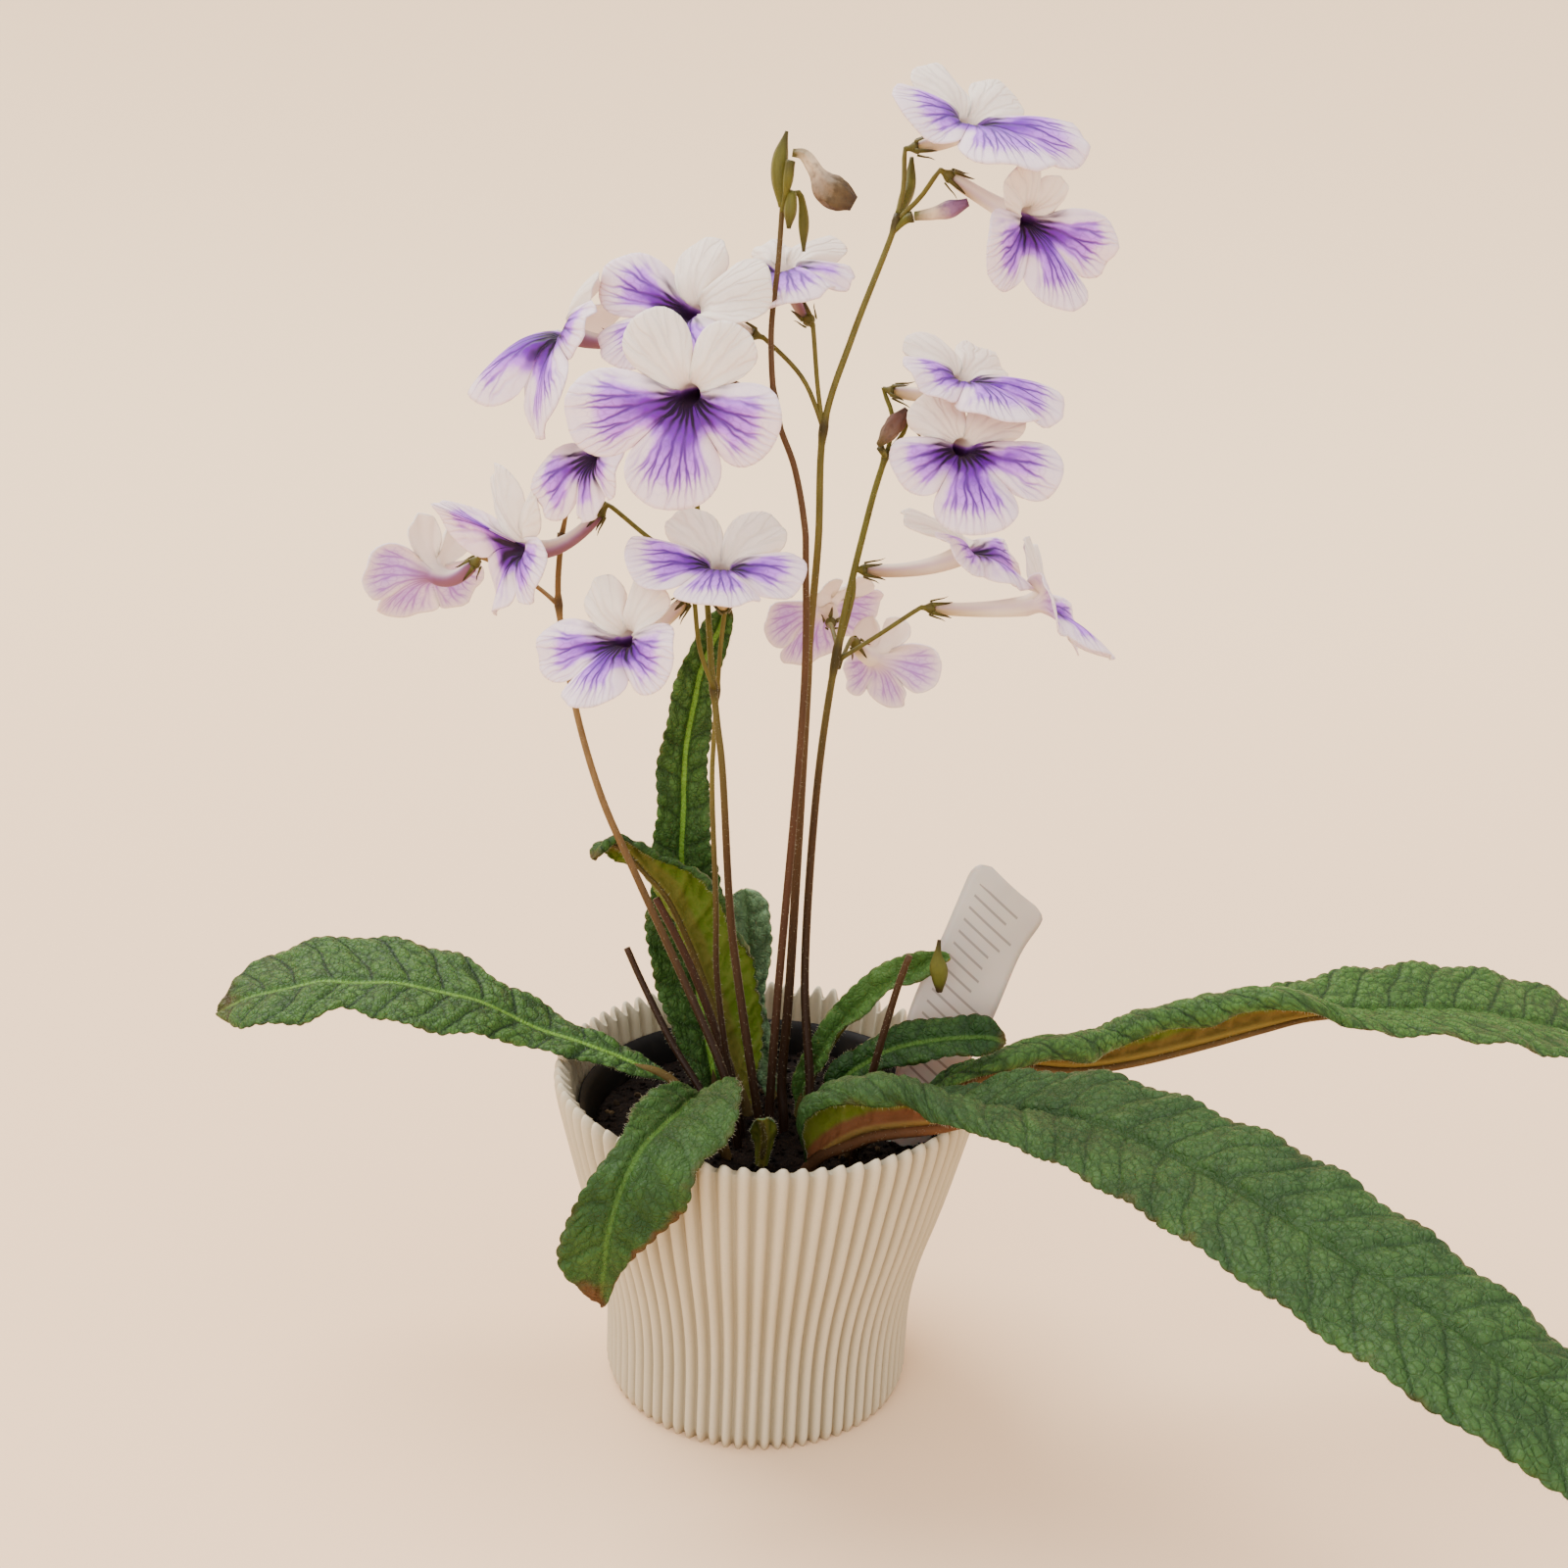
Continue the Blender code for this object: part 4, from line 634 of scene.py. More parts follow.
def colour_ramp(tree, fac, stops):
    """The colour at a place of a row of (place, hex colour) stops."""
    ramp_colour = add(tree, "ValToRGB", {0: fac})
    elements = ramp_colour.node.color_ramp.elements
    for k, (place, code) in enumerate(stops):
        stop = elements[k] if k < 2 else elements.new(1.0)
        stop.position = place
        stop.color = opaque(srgb(code))
    return ramp_colour


# A lobe's veins on either side of its middle: how far each spreads a millimetre of its run, then
# where it forks, in millimetres from the throat, and how widely.
VEINS = ((0.0, ((13.0, 0.2),)), (0.26, ((10.0, 0.15), (16.0, 0.14))),
         (0.58, ((7.0, 0.15), (13.0, 0.15))))


def petal_veins(tree, ahead, aside, place):
    """Veins that run from the throat and fork towards the edge, as a mask from 0 to 1."""
    wobble = add(tree, "TexNoise", {"Vector": place, "Scale": 170.0, "Detail": 2.0})
    wobble = add(tree, "Math", {0: wobble, 1: 2.6, 2: -1.3}, operation="MULTIPLY_ADD")
    across = add(tree, "Math", {0: aside, 1: wobble}, operation="ADD")
    across = add(tree, "Math", {0: across}, operation="ABSOLUTE")
    nearest = None
    for spread, forks in VEINS:
        off = add(tree, "Math", {0: ahead, 1: -spread, 2: across}, operation="MULTIPLY_ADD")
        off = add(tree, "Math", {0: off}, operation="ABSOLUTE")
        for start, slope in forks:
            fork = add(tree, "MapRange", {0: ahead, 1: start, 2: start + 20, 3: 0.0, 4: slope * 20})
            off = add(tree, "Math", {0: off, 1: fork}, operation="SUBTRACT")
            off = add(tree, "Math", {0: off}, operation="ABSOLUTE")
        nearest = off if nearest is None else add(tree, "Math", {0: nearest, 1: off}, operation="MINIMUM")
    width = add(tree, "MapRange", {0: ahead, 1: 2.0, 2: 24.0, 3: 1.0, 4: 0.42})
    return add(tree, "MapRange", {0: nearest, 1: 0.0, 2: width, 3: 1.0, 4: 0.0}, **SOFT)


def petal_net(tree, ahead, aside):
    """The fine net between the forking veins, with meshes about 1.3 by 2.5 mm."""
    flat = add(tree, "CombineXYZ", {"X": aside, "Y": ahead})
    flat = add(tree, "Mapping", {"Vector": flat, "Scale": (0.75, 0.4, 1.0)})
    gap = add(tree, "TexVoronoi", {"Vector": flat, "Scale": 1.0})
    return add(tree, "MapRange", {0: gap, 1: 0.0, 2: 0.14, 3: 1.0, 4: 0.0}, **SOFT)


def petal_face_material(looks):
    """A petal's face: soft velvety white, veined violet on the lower lobes from a dark throat."""
    mat, tree, place, ahead, aside, reach, lower, edge = new_material(
        "petal_face", ("ahead", "aside", "reach", "lower", "edge"), Roughness=0.6, Subsurface_Weight=0.3,
        Subsurface_Radius=(1.0, 0.8, 1.0), Subsurface_Scale=0.002, Specular_IOR_Level=0.2)
    veins = petal_veins(tree, ahead, aside, place)
    net = petal_net(tree, ahead, aside)
    cloud = add(tree, "TexNoise", {"Vector": place, "Scale": 150.0, "Detail": 3.0})
    ragged = add(tree, "Math", {0: cloud, 1: 5.0, 2: edge}, operation="MULTIPLY_ADD")
    margin = add(tree, "MapRange", {0: ragged, 1: 3.6, 2: 9.5}, **SOFT)
    inner = add(tree, "MapRange", {0: reach, 1: 0.95, 2: 0.2})
    near = add(tree, "MapRange", {0: veins, 3: -0.07, 4: 0.1})
    wash = add(tree, "Math", {0: cloud, 1: 0.35, 2: near}, operation="MULTIPLY_ADD")
    wash = add(tree, "Math", {0: wash, 1: -0.16}, operation="ADD")
    wash = add(tree, "Math", {0: wash, 1: inner}, operation="ADD")
    wash = add(tree, "Math", {0: wash, 1: margin}, operation="MULTIPLY", use_clamp=True)
    wash = add(tree, "Math", {0: wash, 1: lower}, operation="MULTIPLY", use_clamp=True)
    # Painted shade: soft greyish-cream clouds on the white ground stand in for the shade of the petal's
    # crinkles.
    shade = add(tree, "MapRange", {0: cloud, 1: 0.3, 2: 0.7, 3: 0.0, 4: 0.4})
    white = add(tree, "Mix", {0: shade, 6: looks.white, 7: "#D6C2AE"})
    blue = add(tree, "Math", {0: lower, 1: 0.3}, operation="MULTIPLY")
    white = add(tree, "Mix", {0: blue, 6: white, 7: "#E2B8EE"})
    light = add(tree, "MapRange", {0: wash, 1: 0.02, 2: 0.4}, **SOFT)
    ground = add(tree, "Mix", {0: light, 6: white, 7: looks.lilac})
    deep = add(tree, "MapRange", {0: wash, 1: 0.35, 2: 0.85}, **SOFT)
    ground = add(tree, "Mix", {0: deep, 6: ground, 7: looks.violet})
    rim = add(tree, "MapRange", {0: edge, 1: 0.8, 2: 8.0, 3: 0.0, 4: 0.9})
    fine = add(tree, "Math", {0: net, 1: 0.3}, operation="MULTIPLY")
    lines = add(tree, "Math", {0: veins, 1: fine}, operation="MAXIMUM")
    lines = add(tree, "Math", {0: lines, 1: rim}, operation="MULTIPLY")
    faint = add(tree, "Math", {0: lines, 1: 0.3}, operation="MULTIPLY")
    ground = add(tree, "Mix", {0: faint, 6: ground, 7: "#A08C84"})
    lines = add(tree, "Math", {0: lines, 1: lower}, operation="MULTIPLY")
    ink = add(tree, "Mix", {0: margin, 6: "#8A3CC8", 7: looks.vein})
    veined = add(tree, "Mix", {0: lines, 6: ground, 7: ink})
    dark = add(tree, "MapRange", {0: ahead, 1: 12.0, 2: 4.0}, **SOFT)
    streak = add(tree, "MapRange", {0: veins, 3: 0.55, 4: 1.4})
    dark = add(tree, "Math", {0: dark, 1: streak}, operation="MULTIPLY", use_clamp=True)
    dark = add(tree, "Math", {0: dark, 1: lower}, operation="MULTIPLY")
    colour = add(tree, "Mix", {0: dark, 6: veined, 7: looks.throat})
    crease = add(tree, "Math", {0: veins, 1: -0.6, 2: cloud}, operation="MULTIPLY_ADD")
    return dressed(mat, colour, crease, 0.8, 0.0005)


def petal_back_material(looks):
    """A petal's back, pale with lilac veins, and its tube's skin, from cream to mauve."""
    mat, tree, place, ahead, aside, reach, lower, edge, blush = new_material(
        "petal_back", ("ahead", "aside", "reach", "lower", "edge", "blush"), Roughness=0.65,
        Subsurface_Weight=0.3, Subsurface_Radius=(1.0, 0.8, 1.0), Subsurface_Scale=0.002,
        Specular_IOR_Level=0.2)
    veins = petal_veins(tree, ahead, aside, place)
    net = petal_net(tree, ahead, aside)
    wash = add(tree, "MapRange", {0: edge, 1: 0.0, 2: 7.0, 3: 0.1, 4: 0.8})
    wash = add(tree, "Math", {0: wash, 1: lower}, operation="MULTIPLY")
    skin = add(tree, "Mix", {0: wash, 6: looks.white, 7: "#B088DC"})
    rim = add(tree, "MapRange", {0: edge, 1: 0.4, 2: 4.0, 3: 0.1, 4: 0.75})
    fine = add(tree, "Math", {0: net, 1: 0.45}, operation="MULTIPLY")
    lines = add(tree, "Math", {0: veins, 1: fine}, operation="MAXIMUM")
    lines = add(tree, "Math", {0: lines, 1: rim}, operation="MULTIPLY")
    lines = add(tree, "Math", {0: lines, 1: lower}, operation="MULTIPLY")
    skin = add(tree, "Mix", {0: lines, 6: skin, 7: "#8A50B0"})
    cream = add(tree, "MapRange", {0: reach, 1: -1.0, 2: -0.35})
    cream = add(tree, "Mix", {0: cream, 6: "#A88C52", 7: "#EFDCC4"})
    tube = add(tree, "Mix", {0: blush, 6: cream, 7: "#74485C"})
    grown = add(tree, "MapRange", {0: reach, 1: -0.12, 2: 0.42, 3: 1.0, 4: 0.0}, **SOFT)
    low = add(tree, "MapRange", {0: lower, 3: 0.35, 4: 1.0})
    grown = add(tree, "Math", {0: grown, 1: low}, operation="MULTIPLY")
    colour = add(tree, "Mix", {0: grown, 6: skin, 7: tube})
    crease = add(tree, "TexNoise", {"Vector": place, "Scale": 420.0, "Detail": 3.0})
    return dressed(mat, colour, crease, 0.3, 0.0002)


def stem_material(looks):
    """A downy stem: near black at the foot, brown, then olive or maroon above, darker at its joints."""
    mat, tree, place, green, maroon, high, dark, pale = new_material(
        "downy_stem", ("green", "maroon", "high", "dark", "pale"), Roughness=0.45, Specular_IOR_Level=0.14)
    streak = add(tree, "Mapping", {"Vector": place, "Scale": (1.0, 1.0, 0.12)})
    streak = add(tree, "TexNoise", {"Vector": streak, "Scale": 700.0, "Detail": 3.0})
    streak = add(tree, "MapRange", {0: streak, 1: 0.35, 2: 0.7, 3: 0.0, 4: 0.35})
    body = colour_ramp(tree, high, ((0.0, "#1C0F07"), (0.2, "#2C1A0C"), (0.42, "#412B14"),
                                    (0.7, "#5A4526"), (1.0, "#66522F")))
    body = add(tree, "Mix", {0: green, 6: body, 7: looks.olive})
    body = add(tree, "Mix", {0: maroon, 6: body, 7: looks.maroon})
    body = add(tree, "Mix", {0: pale, 6: body, 7: looks.tan})
    body = add(tree, "Mix", {0: streak, 6: body, 7: "#2A1A0C"})
    colour = add(tree, "Mix", {0: dark, 6: body, 7: "#261A0E"})
    fuzz = add(tree, "TexNoise", {"Vector": place, "Scale": 1800.0, "Detail": 2.0})
    return dressed(mat, colour, fuzz, 0.4, 0.0003)


def hair_material():
    """Fine plant hairs: colourless cellulose with a soft shine."""
    return new_material("plant_hairs", Roughness=0.4, Base_Color=opaque(srgb("#A8A282")))[0]


def bud_material(name, codes):
    """The thin skin of a bud or withered flower: papery, streaked along its length."""
    mat, tree, place, at = new_material(name + "_skin", ("at",), Roughness=0.7, Specular_IOR_Level=0.15)
    patch = add(tree, "TexNoise", {"Vector": place, "Scale": 650.0, "Detail": 4.0})
    at = add(tree, "Math", {0: patch, 1: 0.3, 2: at}, operation="MULTIPLY_ADD")
    at = add(tree, "Math", {0: at, 1: 0.15}, operation="SUBTRACT", use_clamp=True)
    body = colour_ramp(tree, at, [(k / (len(codes) - 1), code) for k, code in enumerate(codes)])
    worn = add(tree, "MapRange", {0: patch, 1: 0.5, 2: 0.75, 3: 0.0, 4: 0.4})
    colour = add(tree, "Mix", {0: worn, 6: body, 7: "#33261A"})
    return dressed(mat, colour, patch, 0.6, 0.0004)


def clay_material(looks):
    """Matt glazed earthenware: cream on the ribs, with painted shade darkening the grooves, finely grained.
    """
    mat, tree, place, groove = new_material(
        "matt_earthenware", ("groove",), Roughness=0.6, Specular_IOR_Level=0.3)
    broad = add(tree, "TexNoise", {"Vector": place, "Scale": 35.0, "Detail": 3.0})
    grain = add(tree, "TexNoise", {"Vector": place, "Scale": 1400.0, "Detail": 3.0})
    broad = add(tree, "MapRange", {0: broad, 1: 0.3, 2: 0.7, 3: 0.0, 4: 0.35})
    body = add(tree, "Mix", {0: broad, 6: looks.clay, 7: "#AEA284"})
    speck = add(tree, "MapRange", {0: grain, 1: 0.62, 2: 0.8, 3: 0.0, 4: 0.35})
    body = add(tree, "Mix", {0: speck, 6: body, 7: "#8E8260"})
    # Painted shade: the grooves between the ribs are darkened as shade falls in them.
    deep = add(tree, "MapRange", {0: groove, 1: 0.0, 2: 0.7, 3: 0.55, 4: 0.0})
    colour = add(tree, "Mix", {0: deep, 6: body, 7: "#6A5E42"})
    return dressed(mat, colour, grain, 0.35, 0.0003)


def black_plastic_material():
    """Thin black polypropylene, moulded: satin, faintly scuffed and dusted with soil."""
    mat, tree, place = new_material("black_polypropylene", (), Roughness=0.6, Specular_IOR_Level=0.12)
    dust = add(tree, "TexNoise", {"Vector": place, "Scale": 220.0, "Detail": 5.0})
    dust = add(tree, "MapRange", {0: dust, 1: 0.5, 2: 0.8, 3: 0.0, 4: 0.6})
    colour = add(tree, "Mix", {0: dust, 6: "#0A0704", 7: "#20180E"})
    return dressed(mat, colour, dust, 0.2, 0.0002)


def soil_material(looks):
    """Damp peat: near black fibres and crumbs with a few paler ones."""
    mat, tree, place, shade = new_material("damp_peat", ("shade",), Roughness=0.8, Specular_IOR_Level=0.08)
    crumb = add(tree, "TexNoise", {"Vector": place, "Scale": 520.0, "Detail": 5.0})
    crumb = add(tree, "MapRange", {0: crumb, 1: 0.3, 2: 0.75})
    body = add(tree, "Mix", {0: crumb, 6: "#060302", 7: looks.peat})
    pale = add(tree, "MapRange", {0: shade, 1: 0.9, 2: 0.99, 3: 0.0, 4: 0.8})
    colour = add(tree, "Mix", {0: pale, 6: body, 7: "#5A4830"})
    return dressed(mat, colour, crumb, 1.0, 0.0012)


def tag_material():
    """Thin white polystyrene, slightly see-through, printed with plain grey rules 3.3 mm apart."""
    mat, tree, place, across, along = new_material(
        "white_polystyrene", ("across", "along"), Roughness=0.38, Subsurface_Weight=0.3,
        Subsurface_Scale=0.003)
    level = add(tree, "Mapping", {"Vector": place, "Rotation": (0.0, math.radians(-40), 0.0)})
    level = add(tree, "SeparateXYZ", {0: level}, "Z")
    row = add(tree, "Math", {0: level, 1: 1 / (3.3 * MM)}, operation="MULTIPLY")
    line = add(tree, "Math", {0: row}, operation="FRACT")
    line = add(tree, "Math", {0: line, 1: 0.2}, operation="LESS_THAN")
    number = add(tree, "Math", {0: row}, operation="FLOOR")
    end = add(tree, "TexWhiteNoise", {"W": number}, noise_dimensions="1D")
    end = add(tree, "Math", {0: end, 1: 0.28, 2: 0.58}, operation="MULTIPLY_ADD")
    before = add(tree, "Math", {0: across, 1: end}, operation="LESS_THAN")
    after = add(tree, "Math", {0: across, 1: 0.16}, operation="GREATER_THAN")
    high = add(tree, "Math", {0: along, 1: 0.6, 2: 0.32}, operation="COMPARE")
    ink = add(tree, "Math", {0: line, 1: before}, operation="MULTIPLY")
    ink = add(tree, "Math", {0: ink, 1: after}, operation="MULTIPLY")
    ink = add(tree, "Math", {0: ink, 1: high}, operation="MULTIPLY")
    ink = add(tree, "Math", {0: ink, 1: 0.6}, operation="MULTIPLY")
    haze = add(tree, "TexNoise", {"Vector": place, "Scale": 60.0, "Detail": 2.0})
    body = add(tree, "Mix", {0: haze, 6: "#949084", 7: "#B8B4A2"})
    colour = add(tree, "Mix", {0: ink, 6: body, 7: "#4A443A"})
    return dressed(mat, colour, haze, 0.1, 0.0005)


# ---------------------------------------------------------------- stage

CAMERA_PLACE = (0.0, -430.5, 303.4)
CAMERA_PITCH = -16.55
CAMERA_HEADING = 0.13
CAMERA_ROLL = 2.54
FLOOR_WIDTH, FLOOR_LENGTH, FLOOR_FRONT = 16.0, 11.0, -3.0     # in metres, as is the sweep
SWEEP_START, SWEEP_RADIUS, SWEEP_TURN = 0.9, 4.0, 1.4


def build_stage(looks):
    """A pale floor that sweeps up far behind, a broad light from the upper left, and the camera."""
    def place(u, v):
        run = v * FLOOR_LENGTH + FLOOR_FRONT
        turn = min(max(run - SWEEP_START, 0.0) / SWEEP_RADIUS, SWEEP_TURN)
        rest = max(run - SWEEP_START - SWEEP_RADIUS * SWEEP_TURN, 0.0)
        y = min(run, SWEEP_START) + SWEEP_RADIUS * math.sin(turn) + rest * math.cos(SWEEP_TURN)
        z = SWEEP_RADIUS * (1 - math.cos(turn)) + rest * math.sin(SWEEP_TURN)
        return (Vector(((u - 0.5) * FLOOR_WIDTH, y, z)) / MM,)

    bm = bmesh.new()
    add_sheet(bm, 4, 160, place)
    mesh = bpy.data.meshes.new("floor")
    bm.to_mesh(mesh)
    bm.free()
    put_out("floor", mesh, [board_material(looks)])
    key = bpy.data.lights.new("key", "SUN")
    key.energy = looks.key
    key.angle = math.radians(38)
    put_out("key", key).rotation_euler = Vector((0.5, -0.42, -1.0)).to_track_quat("-Z", "Y").to_euler()
    fill = bpy.data.lights.new("fill", "AREA")
    fill.energy = looks.fill
    fill.size = 1.6
    lamp = put_out("fill", fill)
    lamp.location = (-0.9, -1.9, 1.0)
    lamp.rotation_euler = (Vector((0, 0, 0.2)) - lamp.location).to_track_quat("-Z", "Y").to_euler()
    world = bpy.data.worlds.new("room")
    bpy.context.scene.world = world
    world.use_nodes = True
    light = world.node_tree.nodes["Background"].inputs
    light["Color"].default_value = opaque(srgb("#FBFAFF"))
    light["Strength"].default_value = looks.room
    data = bpy.data.cameras.new("camera")
    data.lens = looks.lens
    data.sensor_width = 36.0
    camera = put_out("camera", data)
    camera.location = Vector(CAMERA_PLACE) * MM
    turns = (-CAMERA_HEADING, "Z"), (90 + CAMERA_PITCH, "X"), (CAMERA_ROLL, "Z")
    heading, pitch, roll = (Matrix.Rotation(math.radians(angle), 3, axis) for angle, axis in turns)
    camera.rotation_euler = (heading @ pitch @ roll).to_euler()
    bpy.context.scene.camera = camera


def board_material(looks):
    """A board, matt and plain, its colour painted lighter far behind where it sweeps up, as painted light
    that evens out the weaker light falling there.
    """
    mat, tree, place = new_material("painted_board", Roughness=1.0, Specular_IOR_Level=0.1)
    depth = add(tree, "SeparateXYZ", {0: place}, "Y")
    # Painted light: the board grows lighter far behind, where it sweeps up and the light on it is weaker.
    far = add(tree, "MapRange", {0: depth, 1: -0.4, 2: 2.2}, **SOFT)
    return dressed(mat, add(tree, "Mix", {0: far, 6: looks.floor, 7: looks.backdrop}))


# ---------------------------------------------------------------- leaves


def facing(spec, place):
    """The way a leaf's upper side looks, which may turn between its base and its tip."""
    face = spec["face"]
    if not isinstance(face[0], tuple):
        return Vector(face)
    at = place / (len(spec["line"]) - 1) * (len(face) - 1)
    i = min(int(at), len(face) - 2)
    return Vector(face[i]).lerp(Vector(face[i + 1]), at - i)


def leaf_relief(run, out, seed, looks):
    """The quilting at a point of a blade: the pads' height from 0 to 1, and how near a vein is."""
    drift = noise.noise(Vector((run / 13, out / 9, seed))) * 2.2
    swept = run - abs(out) * (0.42 + 0.016 * abs(out)) + drift + (2.6 if out < 0 else 0.0)
    side = abs(((swept / looks.vein_gap) % 1.0) - 0.5) * looks.vein_gap
    cell = noise.voronoi(Vector((swept / looks.pad, (out + drift) / looks.pad * 1.15, seed)))[0]
    gap = (cell[1] - cell[0]) * looks.pad
    valley = ramp(side, 0.1, 2.6)
    pad = ramp(gap, 0.0, 1.7)
    net = max(1 - ramp(side, 0.25, 1.0), 0.75 * (1 - ramp(gap, 0.15, 0.8)))
    return 0.5 * valley + 0.5 * pad * (0.4 + 0.6 * valley), net


def blade_rows(spec, looks):
    """The blade's rows: each is its point, place, directions, and its distance along the leaf."""
    start = spec["start"]
    early = max(start - 0.9, 0.4)
    length = line_length([p for p, place in smooth_line(spec["line"], 40, early)])
    rows = max(12, int(length / looks.grain))
    line = smooth_line(spec["line"], rows + 1, early)
    out = []
    for i, ((p, place), t) in enumerate(zip(line, tangents([p for p, place in line]))):
        up = facing(spec, place)
        up = (up - up.dot(t) * t).normalized()
        grow = ramp(place, early, start + 0.25)
        out.append((p, place, up, t.cross(up), length * i / rows, grow))
    return out


def half_blade(spec, half, place, columns):
    """Points across a half blade: how far out, how high and the turn, in shares of its width."""
    lift = math.radians(smooth_at(spec["lift_" + half], place))
    curl = math.radians(smooth_at(spec["curl_" + half], place))
    power = smooth_at(spec.get("fold_" + half, 1), place)
    points = [(0.0, 0.0, lift)]
    for k in range(columns):
        turn = lift + curl * ((k + 0.5) / columns) ** power
        along, rise = points[-1][:2]
        points.append((along + math.cos(turn) / columns, rise + math.sin(turn) / columns, turn))
    return points


def build_blade(name, spec, looks, materials):
    """A leaf's blade: quilted between its veins, waved and scalloped at its edge."""
    rows = blade_rows(spec, looks)
    seed = sum(map(ord, name)) % 17
    tone, painted_sheen, rust, tip_brown, edge_brown, line, veined = LEAF_TONES[name]
    widest = max(max(spec["right"]), max(spec["left"]))
    columns = max(8, int(widest * 0.95 / looks.grain))
    last = len(rows) - 1
    arcs = [{half: half_blade(spec, half, row[1], columns) for half in ("right", "left")} for row in rows]
    edge = []

    def place(u, v):
        i = int(round(v * last))
        c = int(round((u - 0.5) * 2 * columns))
        half = "right" if c > 0 else "left"
        sign = 1 if c > 0 else -1
        share = abs(c) / columns
        p, at, up, side, run, grow = rows[i]
        width = max(smooth_at(spec[half], at), 1.0) * grow + 1.2 * (1 - grow)
        rest = min((rows[-1][4] - run) / max(min(width, 6.0), 2.0), 1.0)
        width = max(width * math.sqrt(1 - (1 - rest) ** 2), 0.3)
        scallop = abs(math.sin(math.pi * run / looks.scallop + sign)) ** 0.7
        width *= 1 - min(0.9 / width, 0.09) * (1 - scallop) * ramp(share, 0.55, 1.0)
        along, rise, turn = arcs[i][half][abs(c)]
        turn = turn if c else 0.0
        normal = up * math.cos(turn) - side * (sign * math.sin(turn))
        out = sign * width * share
        height, net = leaf_relief(run, out, seed, looks)
        net *= ramp(abs(out), 0.8, 1.6)
        middle = 1 - ramp(abs(out), 0.5, 2.0)
        height = looks.quilt * (height * ramp(abs(out), 0.4, 2.4) - 0.35 * middle)
        height *= (1 - 0.75 * ramp(share, 0.9, 1.0)) * grow
        wave = looks.wave * math.sin(run / 3.4 + sign * 1.3 + seed) * share ** 3 * grow
        q = p + side * (sign * width * along) + up * (width * rise) + normal * (height + wave - 0.4)
        if share == 1.0 and 0 < i < last:
            edge.append((q, side * (sign * math.cos(turn)) + up * math.sin(turn), normal))
        done = at / (len(spec["line"]) - 1)
        patch = noise.noise(Vector((run / 6, out / 5, seed + 4.0)))
        brown = tip_brown * ramp(done + 0.06 * patch, 0.93, 1.0)
        worn = edge_brown * (1.0 if half == "left" else 0.15)
        brown = max(brown, worn * ramp(share + 0.25 * patch, 0.85, 1.0) * ramp(done, 0.5, 0.75))
        brown = max(brown, 0.3 * ramp(share + 0.15 * patch, 0.97, 1.05))
        # A midrib that sits in a groove is painted dark as shade along it, through the vein mark.
        net = max(net, -line * middle)
        return (q, net, abs(out), tone, painted_sheen, rust, min(brown, 1.0), run, out,
                max(line, 0.0) * (1 - 0.6 * done), veined)

    marks = ("net", "middle", "tone", "painted_sheen", "rust", "brown", "run", "out", "line", "veined")
    bm = new_mesh(marks)
    add_sheet(bm, 2 * columns, last, place, marks)
    finish_piece(bm, name + "_blade", name, materials, looks.thickness)
    return edge


def build_rib(name, spec, materials):
    """A leaf's stalk, which runs on as its midrib under the blade; returns its line and radius."""
    start = spec["start"]
    rib0, rib1 = spec["rib"]
    last = len(spec["line"]) - 1
    count = max(20, int(line_length(spec["line"]) / 2))
    line = smooth_line(spec["line"], count)
    dirs = tangents([p for p, place in line])
    path = []
    for (p, place), t in zip(line, dirs):
        up = facing(spec, place)
        up = (up - up.dot(t) * t).normalized()
        inside = ramp(place, start - 0.5, start + 0.3)
        size = rib_radius(place / last, rib0, rib1)
        path.append(p - up * (inside * (0.9 + size)))

    def radius(s):
        base = ramp(s * last, 0.3, max(start, 1.0))
        return (1.9 * (1 - base) + rib_radius(s, rib0, rib1) * base) * (1 - ramp(s, 0.97, 1.02))

    bm = new_mesh(("at", "rust"))
    rust = LEAF_TONES[name][2]
    add_tube(bm, path, radius, 10, count, ("at", "rust"), lambda s: (s, rust))
    finish_piece(bm, name + "_rib", name, materials)
    return path, radius


def build_down(name, roots, length, rng, materials, width=0.000045):
    """The fine hairs of a piece, each grown from a root point and the direction it stands in."""
    places = []
    for root, direction in roots:
        tilt = Vector((rng.uniform(-1, 1), rng.uniform(-1, 1), rng.uniform(-1, 1))) * 0.45
        places.append(hair_matrix(root, (direction + tilt).normalized(), length * rng.uniform(0.5, 1.2)))
    add_copies(name + "_hairs", hair_template(width), places, name, materials)


def tube_roots(path, radius, gap, rng, start=0.0, end=1.0):
    """Root points spread over a stalk, about one for each gap of its length."""
    points = [Vector(p) for p in path]
    count = int(line_length(points) / gap * (end - start))
    last = len(points) - 1
    dirs = tangents(points)
    roots = []
    for n in range(count):
        s = start + (end - start) * (n + rng.random()) / count
        i = min(int(s * last), last - 1)
        p = points[i].lerp(points[i + 1], s * last - i)
        out = dirs[i].orthogonal().normalized()
        out.rotate(Matrix.Rotation(rng.uniform(0, 2 * math.pi), 3, dirs[i]))
        roots.append((p + out * (radius(s) * 0.92), out))
    return roots


def rib_radius(share, rib0, rib1):
    """The midrib's radius at a share of the leaf's length."""
    return 0.62 * (rib0 + (rib1 - rib0) * share ** 0.7)


# ---------------------------------------------------------------- flowers


def flower_frame(turn):
    """Facing, up and right directions of a flower."""
    h, p, r = (math.radians(a) for a in turn)
    f = Vector((math.sin(h) * math.cos(p), -math.cos(h) * math.cos(p), math.sin(p)))
    u0 = Vector((-math.sin(h) * math.sin(p), math.cos(h) * math.sin(p), math.cos(p)))
    r0 = u0.cross(f)
    u = u0 * math.cos(r) + r0 * math.sin(r)
    return f, u, u.cross(f)


